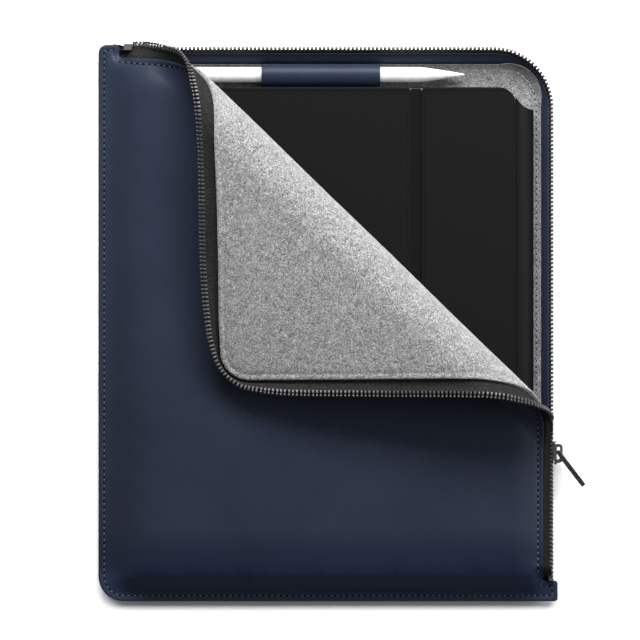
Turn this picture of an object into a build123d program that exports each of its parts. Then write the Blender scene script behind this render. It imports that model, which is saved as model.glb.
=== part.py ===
from build123d import *
import math
import os

# Zip-around leather folio for a 12.9-inch tablet in its keyboard case.
# Millimetres. It lies on its back panel: +Z up, +X towards the zip side, +Y towards the stylus end.
# Origin: middle of the back panel's flat outer face. The front cover's free corner is folded back.

os.makedirs("parts", exist_ok=True)

# ---------------------------------------------------------------- driving dimensions
LEATHER_T = 1.6           # leather thickness
FELT_T = 2.4              # wool felt thickness
X_LEFT, X_RIM = -131.5, 130.1      # sewn left edge, rear rim on the zip side
Y_BOT, Y_RIM = -161.5, 156.9       # sewn bottom edge, rear rim at the stylus end
Y_TOP_TAB = 161.5         # top of the sewn left margin
X_END_TAB = 135.1         # outer side of the sewn margin at the zip's lower end
Y_END_TAB = -149.6        # upper side of that margin
SEAM_Z = 9.0              # height where front and back leather are sewn together
FRONT_Z = 25.6            # outer face of the front cover
RIM_R = 32.0              # plan radius of the rear rim's free corner
COVER_X, COVER_Y = 126.7, 153.4    # zip-side and stylus-end edges of the front leather
FLAP_X = 122.5            # zip-side edge of the folded corner when laid flat
FLAP_R = 24.0             # its corner radius
FOLD_DEG = 44.1           # fold axis runs this far below +X
FOLD_N = 35.4             # distance of the fold's start line from the origin
FOLD_R = 17.5             # bend radius of the folded cover at its middle surface
FOLD_STEP = 65.5          # turn of each of the three fold hinges
TAPE_W = 7.0              # free width of zip tape
TOOTH_PITCH = 2.3
CHAIN_X, CHAIN_Z = 131.3, 13.5     # middle of the closed zip chain
SLIDER_Y0, SLIDER_Y1 = -82.0, -68.5
PULL_LEN = 24.0
PULL_DEG = -52.8          # direction of the zip pull, from +X
STYLUS_R, STYLUS_L = 4.45, 166.0
STYLUS_Y, STYLUS_Z, STYLUS_TIP_X = 144.2, 8.9, 81.0
LOOP_X0, LOOP_X1 = -36.8, 32.0
CASE_X0, CASE_X1 = -98.2, 121.0    # keyboard case, in plan
CASE_Y0, CASE_Y1 = -144.0, 136.6
CASE_Z0, CASE_Z1 = 4.1, 19.9
CREASE_X0, CREASE_X1 = 49.9, 55.7

FELT_Z0 = FRONT_Z - LEATHER_T - 0.1 - FELT_T
MID_Z = (FELT_Z0 + FRONT_Z) / 2

a = math.radians(FOLD_DEG)
DX, DY = math.cos(a), -math.sin(a)      # along the fold axis
NX, NY = math.sin(a), math.cos(a)       # across it, towards the free corner
THETA = math.radians(3 * FOLD_STEP)


def out(shape, name):
    solids = shape.solids() if hasattr(shape, "solids") else shape
    export_step(shape if len(solids) == 1 else Compound(list(solids)), f"parts/{name}.step")
    print(name, len(solids), round(sum(s.volume for s in solids), 2))


def one(shape):
    return max(shape.solids(), key=lambda s: s.volume)


def rface(x0, x1, y0, y1, z, bl, br, tr, tl):
    """Rectangle with its own radius at each corner, at height z."""
    k = 1 - math.sqrt(0.5)
    e = [
        Line((x0 + bl, y0, z), (x1 - br, y0, z)),
        ThreePointArc((x1 - br, y0, z), (x1 - br * k, y0 + br * k, z), (x1, y0 + br, z)),
        Line((x1, y0 + br, z), (x1, y1 - tr, z)),
        ThreePointArc((x1, y1 - tr, z), (x1 - tr * k, y1 - tr * k, z), (x1 - tr, y1, z)),
        Line((x1 - tr, y1, z), (x0 + tl, y1, z)),
        ThreePointArc((x0 + tl, y1, z), (x0 + tl * k, y1 - tl * k, z), (x0, y1 - tl, z)),
        Line((x0, y1 - tl, z), (x0, y0 + bl, z)),
        ThreePointArc((x0, y0 + bl, z), (x0 + bl * k, y0 + bl * k, z), (x0 + bl, y0, z)),
    ]
    return make_face(Wire(e))


def block(x0, x1, y0, y1, z0, z1):
    return Pos((x0 + x1) / 2, (y0 + y1) / 2, (z0 + z1) / 2) * Box(x1 - x0, y1 - y0, z1 - z0)


def prism(points, z0, z1):
    return extrude(make_face(Polyline(*[(x, y, z0) for x, y in points], close=True)), amount=z1 - z0, dir=(0, 0, 1))


def half_plane(limit, side, z0=-10, z1=120):
    """Big block on one side of the line n.p = limit: side +1 towards the free corner."""
    big = 600
    p = [(-big, 0), (big, 0), (big, side * big), (-big, side * big)]
    pts = [(t * DX + (limit + w) * NX, t * DY + (limit + w) * NY) for t, w in p]
    return prism(pts, z0, z1)


# ---------------------------------------------------------------- back half of the folio
def seam_margin(z0):
    """The flat sewn margin down the left side and along the bottom."""
    left = extrude(rface(X_LEFT, -121.0, Y_BOT, Y_TOP_TAB, z0, 10.4, 0.05, 4.0, 4.0), amount=LEATHER_T)
    low = extrude(rface(X_LEFT, X_END_TAB, Y_BOT, Y_END_TAB, z0, 11.8, 2.0, 2.0, 0.05), amount=LEATHER_T)
    return left + low


tray = loft([rface(-118, 123.5, -150.5, 147.5, 0, 10, 8, 17, 4), rface(-124, X_RIM, -155, Y_RIM, SEAM_Z, 10, 3, RIM_R, 4)], ruled=True)
hollow = loft([rface(-116.2, 122.6, -149.0, 146.9, 1.6, 9, 7, 16, 3), rface(-121.6, 128.2, -153.0, 154.7, SEAM_Z + 0.02, 9, 2.5, 30, 3)], ruled=True)
back_leather = (tray + seam_margin(SEAM_Z - LEATHER_T)) - hollow
out(back_leather, "back_cover_leather")

felt_out = loft([rface(-116.0, 122.4, -148.8, 146.7, 1.65, 9.2, 7.2, 16.2, 3.2), rface(-118.4, 125.0, -150.6, 150.2, 5.2, 9.4, 5.4, 23.5, 3.4)], ruled=True)
felt_in = loft([rface(-113.8, 121.45, -146.4, 146.2, 4.05, 8, 5, 15, 3), rface(-115.6, 122.6, -147.8, 147.3, 5.3, 8, 4, 21, 3)], ruled=True)
out(felt_out - felt_in, "back_lining_felt")


# rear zip tape: a narrow band standing on the rim, from the zip's start to its end
def rim_band(profile, y_end=Y_END_TAB + 0.2, x_start=-119.5):
    """profile: (outward, z) points, outward measured from the rim edge. Follows the rim round the free corner."""
    def at_x(p):
        return [(X_RIM + o, z) for o, z in p]

    side = extrude(make_face(Polyline(*[(x, y_end, z) for x, z in at_x(profile)], close=True)), amount=(Y_RIM - RIM_R) - y_end, dir=(0, 1, 0))
    top = extrude(make_face(Polyline(*[(x_start, Y_RIM + o, z) for o, z in profile], close=True)), amount=(X_RIM - RIM_R) - x_start, dir=(1, 0, 0))
    ring = revolve(
        make_face(Polyline(*[(RIM_R + o, 0, z) for o, z in profile], close=True)),
        Axis((0, 0, 0), (0, 0, 1)),
        90,
    )
    ring = Pos(X_RIM - RIM_R, Y_RIM - RIM_R, 0) * ring
    return side + top + ring


out(rim_band([(-0.9, 9.1), (-0.1, 9.1), (1.6, 11.0), (0.8, 11.0)]), "zipper_tape_rear")


# ---------------------------------------------------------------- zip teeth
def rim_stations(step, start, stop, off=1.2):
    """Places along the rim path from x=start at the stylus end round to y=stop on the zip side: (x, y, angle of outward normal)."""
    R = RIM_R + off
    x_c, y_c = X_RIM - RIM_R, Y_RIM - RIM_R
    l1 = x_c - start
    l2 = R * math.pi / 2
    l3 = y_c - stop
    s, res = 0.0, []
    while s <= l1 + l2 + l3:
        if s < l1:
            res.append((start + s, Y_RIM + off, 90.0))
        elif s < l1 + l2:
            g = math.pi / 2 - (s - l1) / R
            res.append((x_c + R * math.cos(g), y_c + R * math.sin(g), math.degrees(g)))
        else:
            res.append((X_RIM + off, y_c - (s - l1 - l2), 0.0))
        s += step
    return res


ROW_GAP = 1.1              # clear slot between the two rows, where the slider's dividing post runs
tooth = Pos(0, 0, 0.95) * Box(2.4, 1.25, 1.3) + Pos(-0.3, 0, 0.15) * Box(1.6, 1.25, 0.3)
rear_teeth = [Pos(x, y, CHAIN_Z - ROW_GAP / 2 - 1.6) * Rot(0, 0, g) * tooth for x, y, g in rim_stations(TOOTH_PITCH, -109.0, -147.0)]
out(Compound(rear_teeth), "zipper_teeth_rear")

front_row = []
y = -75.0
while y > -147.2:
    front_row.append(Pos(CHAIN_X, y, CHAIN_Z + ROW_GAP / 2 + 0.8) * Box(2.4, 1.25, 1.6))
    y -= TOOTH_PITCH
out(Compound(front_row), "zipper_teeth_front")

out(fillet(block(-116.8, -112.0, 158.3, 161.9, 11.1, 15.9).edges().filter_by(Axis.Z), 0.8), "zipper_start_stop")
out(block(130.0, 132.7, -149.4, -148.4, 11.1, 15.9), "zipper_end_stop")

# ---------------------------------------------------------------- front half of the folio
outer = loft([rface(-124, COVER_X, -155, COVER_Y, SEAM_Z + 0.05, 9, 2, 2, 2), rface(-112, COVER_X, -147.5, COVER_Y, FRONT_Z, 9, 2, 2, 2)], ruled=True)
inner = loft([rface(-121.9, COVER_X - 1.6, -153.0, COVER_Y - 1.6, SEAM_Z - 0.05, 8, 1, 1, 1), rface(-110.9, COVER_X - 1.6, -146.3, COVER_Y - 1.6, FRONT_Z - LEATHER_T, 8, 1, 1, 1)], ruled=True)
cover = (outer + seam_margin(SEAM_Z + 0.05)) - inner
cover = cover - block(COVER_X - 1.8, COVER_X + 0.2, Y_END_TAB, 160, SEAM_Z, FRONT_Z - 4.0) - block(-120.3, COVER_X + 1, COVER_Y - 1.8, COVER_Y + 0.1, SEAM_Z, 11.0) - block(-127.0, COVER_X + 1, COVER_Y - 1.8, COVER_Y + 0.1, 11.0, FRONT_Z - 4.0)
cover = cover - half_plane(FOLD_N, 1)
front = max(cover.solids(), key=lambda s: s.volume)

lining = extrude(rface(-110.0, 124.8, -145.6, 151.4, FELT_Z0, 9, 3, 3, 3), amount=FELT_T) - half_plane(FOLD_N, 1)
lining = max(lining.solids(), key=lambda s: s.volume)

# front zip tape beside the closed chain, and at the zip's start
t_side = [(131.0, 16.1), (131.7, 16.1), (131.7, 18.4), (127.7, 22.2), (126.9, 21.6), (131.0, 18.0)]
side_tape = extrude(make_face(Polyline(*[(x, Y_END_TAB + 0.2, z) for x, z in t_side], close=True)), amount=-74.5 - (Y_END_TAB + 0.2), dir=(0, 1, 0))
t_top = [(157.6, 16.2), (158.4, 16.2), (158.4, 18.2), (154.4, 22.2), (153.6, 21.6), (157.6, 17.8)]
top_tape = extrude(make_face(Polyline(*[(-119.5, y, z) for y, z in t_top], close=True)), amount=11.0, dir=(1, 0, 0))
out(side_tape + top_tape, "zipper_tape_front")

# stitching along the sewn margins, each stitch lying on the leather
stitches = []
sz = SEAM_Z + 0.05 + LEATHER_T + 0.2
n_left = 78
for i in range(n_left):
    stitches.append(Pos(-127.9, -141.0 + i * 3.9, sz) * Box(0.7, 2.7, 0.38))
for i in range(64):
    stitches.append(Pos(-116.0 + i * 3.9, -158.3, sz) * Box(2.7, 0.7, 0.38))
out(Compound(stitches), "seam_stitching")


# ---------------------------------------------------------------- folded corner of the front cover
def top_edge_t(u, grow=0.0):
    """Where the cover's stylus-end edge lies, along the fold axis, at flat distance u past the fold's start."""
    return ((FOLD_N + u) * NY - COVER_Y - grow) / -DY


def side_edge_t(u, grow=0.0):
    return (COVER_X + (FLAP_X - COVER_X) * min(1.0, u / 60.0) + grow - (FOLD_N + u) * NX) / DX


def on_bend(rad, q, t):
    u = rad * math.sin(q)
    return (t * DX + (FOLD_N + u) * NX, t * DY + (FOLD_N + u) * NY, MID_Z + FOLD_R - rad * math.cos(q))


def fold_band(r0, r1, p0, p1):
    """Part of a tube about the fold axis, between angles p0 and p1 (degrees from the flat cover), cut to the cover's edges."""
    q0, q1 = math.radians(p0), math.radians(p1)
    qm = (q0 + q1) / 2
    t0, t1 = -230.0, 190.0
    w = Wire([
        ThreePointArc(on_bend(r1, q0, t0), on_bend(r1, qm, t0), on_bend(r1, q1, t0)),
        Line(on_bend(r1, q1, t0), on_bend(r0, q1, t0)),
        ThreePointArc(on_bend(r0, q1, t0), on_bend(r0, qm, t0), on_bend(r0, q0, t0)),
        Line(on_bend(r0, q0, t0), on_bend(r1, q0, t0)),
    ])
    band = extrude(make_face(w), amount=t1 - t0, dir=(DX, DY, 0))
    for edge, side in ((top_edge_t, -1), (side_edge_t, 1)):
        pa = Vector(*on_bend(FOLD_R, q0, edge(FOLD_R * q0)))
        pb = Vector(*on_bend(FOLD_R, q1, edge(FOLD_R * q1)))
        radial = Vector(NX * math.sin(qm), NY * math.sin(qm), -math.cos(qm))
        normal = (pb - pa).cross(radial).normalized()
        if normal.dot(Vector(DX, DY, 0)) * side < 0:
            normal = normal * -1
        cut = Plane(origin=pa, x_dir=(pb - pa), z_dir=normal).location * Pos(0, 0, 150) * Box(500, 500, 300)
        band = band - cut
    return max(band.solids(), key=lambda s: s.volume)


R_L0, R_L1 = FOLD_R - (FRONT_Z - MID_Z), FOLD_R - (FRONT_Z - LEATHER_T - MID_Z)
R_F0, R_F1 = FOLD_R + (MID_Z - FELT_Z0 - FELT_T), FOLD_R + (MID_Z - FELT_Z0)
out(fold_band(R_L0, R_L1, 38.0, 93.0), "fold_band_lower_leather")
out(fold_band(R_F0, R_F1, 38.0, 93.0), "fold_band_lower_felt")
out(fold_band(R_L0, R_L1, 103.5, 158.5), "fold_band_upper_leather")
out(fold_band(R_F0, R_F1, 103.5, 158.5), "fold_band_upper_felt")
out(one(front + fold_band(R_L0, R_L1, 0, 27.5)), "front_cover_leather")
out(one(lining + fold_band(R_F0, R_F1, 0, 27.5)), "front_lining_felt")


def opened(shape):
    """Carries the corner from where it lies when the folio is shut to where it lies folded back."""
    e_u = FOLD_R * math.sin(THETA)
    e_z = MID_Z + FOLD_R * (1 - math.cos(THETA))
    to_local = Plane(origin=((FOLD_N + FOLD_R * THETA) * NX, (FOLD_N + FOLD_R * THETA) * NY, MID_Z), x_dir=(DX, DY, 0), z_dir=(0, 0, 1))
    c, s = math.cos(THETA), math.sin(THETA)
    y_dir = (c * NX, c * NY, s)
    zd = (-s * NX, -s * NY, c)
    to_rest = Plane(origin=((FOLD_N + e_u) * NX, (FOLD_N + e_u) * NY, e_z), x_dir=(DX, DY, 0), z_dir=zd)
    return to_rest.location * to_local.location.inverse() * shape


U_FLAP = FOLD_N + FOLD_R * THETA           # the rigid corner starts here when laid flat
keep = half_plane(U_FLAP, 1)


def flap_plate(grow, z0, z1):
    r = FLAP_R + grow
    return extrude(rface(-200, FLAP_X + grow, -200, COVER_Y + grow, z0, 5, 5, r, 5), amount=z1 - z0) & keep


P_END, P_FLAP = 3 * FOLD_STEP, 3 * FOLD_STEP - 27.5
out(one(opened(one(flap_plate(0, FRONT_Z - LEATHER_T, FRONT_Z))) + fold_band(R_L0, R_L1, P_FLAP, P_END)), "flap_leather")
tape_z = FRONT_Z - LEATHER_T - 0.9
tape_slot = flap_plate(3, tape_z - 0.1, FRONT_Z) - flap_plate(-5.2, tape_z - 1, FRONT_Z + 1)
flap_felt = flap_plate(-0.2, FELT_Z0, FELT_Z0 + FELT_T) - tape_slot
out(one(opened(one(flap_felt)) + fold_band(R_F0, R_F1, P_FLAP, P_END)), "flap_lining_felt")
tape = flap_plate(TAPE_W, tape_z, tape_z + 0.8) - flap_plate(-5.0, tape_z - 1, tape_z + 2) - half_plane(U_FLAP + 2.0, -1)
out(opened(one(tape)), "zipper_tape_flap")


def flap_stations(step, off):
    R = FLAP_R + off
    x_c, y_c = FLAP_X - FLAP_R, COVER_Y - FLAP_R
    x_start = (U_FLAP - (COVER_Y + off) * NY) / NX + 2.0
    y_stop = (U_FLAP - (FLAP_X + off) * NX) / NY + 2.0
    l1, l2, l3 = x_c - x_start, R * math.pi / 2, y_c - y_stop
    s, res = 0.0, []
    while s <= l1 + l2 + l3:
        if s < l1:
            res.append((x_start + s, COVER_Y + off, 90.0))
        elif s < l1 + l2:
            g = math.pi / 2 - (s - l1) / R
            res.append((x_c + R * math.cos(g), y_c + R * math.sin(g), math.degrees(g)))
        else:
            res.append((FLAP_X + off, y_c - (s - l1 - l2), 0.0))
        s += step
    return res


flap_tooth = Box(3.6, 1.25, 2.4)
off = TAPE_W + 1.9
flap_teeth = Compound([Pos(x, y, tape_z + 0.4) * Rot(0, 0, g) * flap_tooth for x, y, g in flap_stations(TOOTH_PITCH, off)])
out(opened(flap_teeth), "zipper_teeth_flap")

# ---------------------------------------------------------------- slider and pull
s_mid = (SLIDER_Y0 + SLIDER_Y1) / 2
W2 = 4.1
outer_plate = fillet(block(133.1, 134.4, SLIDER_Y0, SLIDER_Y1, CHAIN_Z - W2, CHAIN_Z + W2).edges().filter_by(Axis.X), 2.0)
flanges = block(131.95, 133.1, SLIDER_Y0 + 2, SLIDER_Y1 - 2.4, CHAIN_Z - W2, CHAIN_Z - W2 + 0.9) + block(131.95, 133.1, SLIDER_Y0 + 2, SLIDER_Y1 - 2.4, CHAIN_Z + W2 - 0.9, CHAIN_Z + W2)
inner_plate = fillet(block(127.7, 129.0, SLIDER_Y0 + 0.8, SLIDER_Y1 - 0.4, CHAIN_Z - W2 + 0.2, CHAIN_Z + W2 - 0.2).edges().filter_by(Axis.X), 1.8)
wedge = block(129.0, 133.1, SLIDER_Y1 - 3.0, SLIDER_Y1 - 0.5, CHAIN_Z - ROW_GAP / 2 + 0.15, CHAIN_Z + ROW_GAP / 2 - 0.15)
out(outer_plate + flanges + inner_plate + wedge, "slider_body")

# crown: the bridge on the slider that holds the pull
bx = 134.4
crown_o = block(bx, bx + 3.2, -80.6, -70.2, CHAIN_Z - 0.9, CHAIN_Z + 0.9)
crown_o = fillet(crown_o.edges().filter_by(Axis.Z).group_by(Axis.X)[-1], 2.2)
crown = crown_o - block(bx - 0.1, bx + 2.0, -79.2, -71.6, CHAIN_Z - 2, CHAIN_Z + 2)
out(crown, "slider_bridge")

PIV_X, PIV_Y = bx + 1.0, -75.0
pull = Pos(PULL_LEN / 2, 0, 0) * Box(PULL_LEN, 1.8, 5.6)
pull = fillet(pull.edges().filter_by(Axis.Y).group_by(Axis.X)[-1], 1.6)
head_bar = Pos(0, 0, 0) * Cylinder(0.78, 5.6)
slot = Pos(4.1, 0, 0) * Box(8.2, 3, 2.7)
pull = (pull - slot - (Pos(-1, 0, 0) * Box(2, 4, 8))) + head_bar
thin = Pos(PULL_LEN - 6.5, 0, 0) * Box(9.0, 3, 2.6)
pull = pull - (Pos(0, 1.55, 0) * thin) - (Pos(0, -1.55 - 0.6, 0) * thin)
pull = Pos(PIV_X, PIV_Y, CHAIN_Z) * Rot(0, 0, PULL_DEG) * pull
out(one(pull), "zip_pull")

# ---------------------------------------------------------------- stylus and its loop
cone_l, nib_l = 15.0, 10.6
body_l = STYLUS_L - cone_l - nib_l
prof = [(0, 0), (0, STYLUS_R - 0.6), (0.6, STYLUS_R), (body_l, STYLUS_R), (body_l + cone_l, 2.2), (body_l + cone_l, 0)]
x_back = STYLUS_TIP_X - STYLUS_L
barrel = revolve(make_face(Polyline(*[(x_back + x, STYLUS_Y + r_, STYLUS_Z) for x, r_ in prof], close=True)), Axis((0, STYLUS_Y, STYLUS_Z), (1, 0, 0)), 360)
out(barrel, "stylus_barrel")
nx0 = x_back + body_l + cone_l + 0.15
nib = revolve(make_face(Polyline((nx0, STYLUS_Y, STYLUS_Z), (nx0, STYLUS_Y + 2.15, STYLUS_Z), (STYLUS_TIP_X - 0.7, STYLUS_Y + 0.75, STYLUS_Z), (STYLUS_TIP_X, STYLUS_Y + 0.25, STYLUS_Z), (STYLUS_TIP_X, STYLUS_Y, STYLUS_Z), close=True)), Axis((0, STYLUS_Y, STYLUS_Z), (1, 0, 0)), 360)
out(nib, "stylus_tip")

loop_l = LOOP_X1 - LOOP_X0
loop = Pos((LOOP_X0 + LOOP_X1) / 2, STYLUS_Y, STYLUS_Z) * Rot(0, 90, 0) * (Cylinder(6.0, loop_l) - Cylinder(4.75, loop_l + 2))
loop = loop - block(-100, 100, 120, 160, -5, 5.35)
foot = block(LOOP_X0, LOOP_X1, 137.2, 140.4, 4.15, 5.4) - (Pos(0, STYLUS_Y, STYLUS_Z) * Rot(0, 90, 0) * Cylinder(4.75, 200))
out(loop + foot, "pencil_loop")

# ---------------------------------------------------------------- keyboard case with its tablet, shut, back cover up
panel_t = 1.8
pz0 = CASE_Z1 - panel_t


def line_groove(x0, x1, y0, y1, rl, rr, inset=1.7, w=0.45, depth=0.25):
    o = extrude(rface(x0 + inset, x1 - inset, y0 + inset, y1 - inset, CASE_Z1 - depth, rl - 1, rr, rr, rl - 1), amount=depth + 0.1)
    i = extrude(rface(x0 + inset + w, x1 - inset - w, y0 + inset + w, y1 - inset - w, CASE_Z1 - depth - 0.1, rl - 1.3, rr, rr, rl - 1.3), amount=depth + 0.3)
    return o - i


wide = extrude(rface(CASE_X0, CREASE_X0, CASE_Y0, CASE_Y1, pz0, 12, 3, 3, 12), amount=panel_t)
wide = fillet(wide.edges().group_by(Axis.Z)[-1], 0.5)
out(wide - line_groove(CASE_X0, CREASE_X0, CASE_Y0, CASE_Y1, 12, 2.0), "case_back_panel_wide")

X_SP = 110.8
narrow = extrude(rface(CREASE_X1, X_SP, CASE_Y0, CASE_Y1, pz0, 3, 10.2, 10.2, 3), amount=panel_t)
narrow = fillet(narrow.edges().group_by(Axis.Z)[-1], 0.5)
out(narrow - line_groove(CREASE_X1, X_SP + 4, CASE_Y0, CASE_Y1, 3.0, 9.0), "case_back_panel_narrow")
out(extrude(rface(CREASE_X0 + 0.05, CREASE_X1 - 0.05, CASE_Y0 + 0.8, CASE_Y1 - 0.8, pz0 + 0.1, 0.5, 0.5, 0.5, 0.5), amount=0.9), "case_back_crease")

# spine: leathercloth wrapped round the hinge, narrower than the panels, with an S-shaped shoulder at each end
sp_c, sp_r, sp_t = 113.1, 7.9, 1.5
zc = (CASE_Z0 + CASE_Z1) / 2
w = Wire([
    Line((X_SP + 0.1, 0, CASE_Z1), (sp_c, 0, CASE_Z1)),
    ThreePointArc((sp_c, 0, CASE_Z1), (sp_c + sp_r, 0, zc), (sp_c, 0, CASE_Z0)),
    Line((sp_c, 0, CASE_Z0), (X_SP + 0.1, 0, CASE_Z0)),
    Line((X_SP + 0.1, 0, CASE_Z0), (X_SP + 0.1, 0, CASE_Z0 + sp_t)),
    Line((X_SP + 0.1, 0, CASE_Z0 + sp_t), (sp_c, 0, CASE_Z0 + sp_t)),
    ThreePointArc((sp_c, 0, CASE_Z0 + sp_t), (sp_c + sp_r - sp_t, 0, zc), (sp_c, 0, CASE_Z1 - sp_t)),
    Line((sp_c, 0, CASE_Z1 - sp_t), (X_SP + 0.1, 0, CASE_Z1 - sp_t)),
    Line((X_SP + 0.1, 0, CASE_Z1 - sp_t), (X_SP + 0.1, 0, CASE_Z1)),
])
spine = Pos(0, CASE_Y0, 0) * extrude(make_face(w), amount=CASE_Y1 - CASE_Y0, dir=(0, 1, 0))
s1, s0 = CASE_Y1, CASE_Y0
plan = make_face(Wire([
    Spline((X_SP, s1 - 5.6), (113.4, s1 - 9.4), (116.8, s1 - 12.0), (CASE_X1 + 0.5, s1 - 12.8)),
    Line((CASE_X1 + 0.5, s1 - 12.8), (CASE_X1 + 0.5, s0 + 12.8)),
    Spline((CASE_X1 + 0.5, s0 + 12.8), (116.8, s0 + 12.0), (113.4, s0 + 9.4), (X_SP, s0 + 5.6)),
    Line((X_SP, s0 + 5.6), (X_SP, s1 - 5.6)),
]))
spine = spine & extrude(plan, amount=30)
out(one(spine), "case_spine_cover")

barrel_l = 236.0
yc = (CASE_Y0 + CASE_Y1) / 2
hb = Pos(sp_c - 0.6, yc, zc) * Rot(90, 0, 0)
out(hb * (Cylinder(5.4, barrel_l) - Cylinder(2.45, barrel_l + 2)), "case_hinge_barrel")
out(hb * Cylinder(2.35, barrel_l - 4), "case_hinge_pin")

# keyboard base: shell with a sunk key bed, keys and trackpad
base_x1 = 105.8
base = extrude(rface(CASE_X0, base_x1, CASE_Y0, CASE_Y1, CASE_Z0, 12, 3, 3, 12), amount=6.4)
bz1 = CASE_Z0 + 6.4
keybed = block(8.0, 103.0, yc - 131.5, yc + 131.5, bz1 - 2.4, bz1 + 1)
padbed = block(-88.0, -18.0, yc - 56.0, yc + 56.0, bz1 - 1.4, bz1 + 1)
out(base - keybed - padbed, "keyboard_base_shell")
keys = []
for r_ in range(5):
    for c_ in range(14):
        kx = 17.5 + r_ * 18.8
        ky = yc - 121.5 + c_ * 18.7
        keys.append(Pos(kx, ky, bz1 - 2.35 + 1.05) * fillet(Box(16.4, 16.4, 2.1).edges().filter_by(Axis.Z), 1.6))
out(Compound(keys), "keyboard_keycaps")
out(extrude(rface(-87.8, -18.2, yc - 55.8, yc + 55.8, bz1 - 1.35, 3, 3, 3, 3), amount=1.3), "keyboard_trackpad")

tab_z0, tab_t = bz1 + 0.75, 6.4
tablet = extrude(rface(CASE_X0 + 1.2, 105.4, CASE_Y0 + 0.6, CASE_Y1 - 0.6, tab_z0 + 0.75, 17, 17, 17, 17), amount=tab_t - 0.75)
out(tablet, "tablet_housing")
out(extrude(rface(CASE_X0 + 2.0, 104.6, CASE_Y0 + 1.4, CASE_Y1 - 1.4, tab_z0, 16, 16, 16, 16), amount=0.7), "tablet_display_glass")


# ---------------------------------------------------------------- fold hinge axes, for the joints
beta = math.radians(FOLD_STEP)
e0 = (FOLD_R * math.sin(beta), FOLD_R * (1 - math.cos(beta)))
e1 = (FOLD_R * beta, 0.0)
cb, sb = math.cos(beta), math.sin(beta)
bxx, bzz = e1[0] - (cb * e0[0] + sb * e0[1]), e1[1] - (-sb * e0[0] + cb * e0[1])
m11, m12, m21, m22 = 1 - cb, -sb, sb, 1 - cb
det = m11 * m22 - m12 * m21
cx, cz = (m22 * bxx - m12 * bzz) / det, (-m21 * bxx + m11 * bzz) / det
for i in range(3):
    f = i * beta
    px_, pz_ = FOLD_R * math.sin(f), FOLD_R * (1 - math.cos(f))
    u_, z_ = px_ + math.cos(f) * cx - math.sin(f) * cz, pz_ + math.sin(f) * cx + math.cos(f) * cz
    print("fold hinge", i + 1, [round(v / 1000, 7) for v in ((FOLD_N + u_) * NX, (FOLD_N + u_) * NY, MID_Z + z_)], "axis", [round(-DX, 6), round(-DY, 6), 0])
print("pull pivot", PIV_X / 1000, PIV_Y / 1000, CHAIN_Z / 1000)
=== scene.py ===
import bpy
import math
import numpy as np
from mathutils import Vector, Matrix, geometry


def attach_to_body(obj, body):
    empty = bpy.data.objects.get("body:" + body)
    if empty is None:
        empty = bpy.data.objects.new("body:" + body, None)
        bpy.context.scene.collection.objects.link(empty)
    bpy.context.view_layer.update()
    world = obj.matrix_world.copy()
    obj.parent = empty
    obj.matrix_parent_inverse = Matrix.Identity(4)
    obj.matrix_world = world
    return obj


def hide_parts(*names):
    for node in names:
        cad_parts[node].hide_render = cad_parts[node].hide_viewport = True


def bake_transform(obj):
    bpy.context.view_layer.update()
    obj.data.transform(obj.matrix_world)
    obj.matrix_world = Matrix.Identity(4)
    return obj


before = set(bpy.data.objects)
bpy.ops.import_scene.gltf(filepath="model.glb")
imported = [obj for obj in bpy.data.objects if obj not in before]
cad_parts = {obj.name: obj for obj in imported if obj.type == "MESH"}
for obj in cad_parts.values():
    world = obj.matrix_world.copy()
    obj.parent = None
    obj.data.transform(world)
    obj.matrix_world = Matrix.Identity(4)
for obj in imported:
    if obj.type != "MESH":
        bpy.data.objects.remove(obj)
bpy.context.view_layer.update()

MM = 0.001
rng = np.random.default_rng(7)

# ------------------------------------------------------------------ the cover's fold, as in the CAD (mm)
ANG = math.radians(44.1)
DX, DY = math.cos(ANG), -math.sin(ANG)
NX, NY = math.sin(ANG), math.cos(ANG)
N0, R = 35.4, 17.5
BETA = math.radians(65.5)
TH, RB = 3 * BETA, R * BETA
RT = R * TH
ZC = 23.55
L_OUT, L_IN = 2.05, 0.45        # leather's faces, measured from the middle surface
F_IN, F_OUT = 0.35, -2.05       # felt's faces


def smooth(x):
    x = np.clip(x, 0.0, 1.0)
    return x * x * (3 - 2 * x)


def curve(xs, ys):
    """Monotone cubic through points, as a function of arrays."""
    xs, ys = np.array(xs, float), np.array(ys, float)
    h, d = np.diff(xs), np.diff(ys) / np.diff(xs)
    m = np.zeros(len(xs))
    m[0], m[-1] = d[0], d[-1]
    for i in range(1, len(xs) - 1):
        if d[i - 1] * d[i] > 0:
            w1, w2 = 2 * h[i] + h[i - 1], h[i] + 2 * h[i - 1]
            m[i] = (w1 + w2) / (w1 / d[i - 1] + w2 / d[i])

    def f(x):
        x = np.clip(np.asarray(x, float), xs[0], xs[-1])
        i = np.clip(np.searchsorted(xs, x) - 1, 0, len(xs) - 2)
        s = (x - xs[i]) / h[i]
        return (ys[i] * (1 + 2 * s) * (1 - s) ** 2 + m[i] * h[i] * s * (1 - s) ** 2
                + ys[i + 1] * s * s * (3 - 2 * s) + m[i + 1] * h[i] * s * s * (s - 1))

    return f


def tu(x, y):
    return x * DX + y * DY, x * NX + y * NY - N0


# the folded corner starts off level behind the fold and curves down more and more towards its rim
_lu = np.array([40.0, 50.0, 56.0, 62.0, 80.0, 110.0, 150.0, 190.0])
_lg = np.array([0.0, 0.0, 0.035, 0.058, 0.024, -0.012, -0.09, -0.18])
_uu = np.arange(40.0, 190.0, 0.5)
_gg = np.interp(_uu, _lu, _lg)
_ff = np.concatenate([[0], np.cumsum((_gg[1:] + _gg[:-1]) * 0.25)])


def lift(u):
    return np.interp(u, _uu, _ff)


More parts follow.
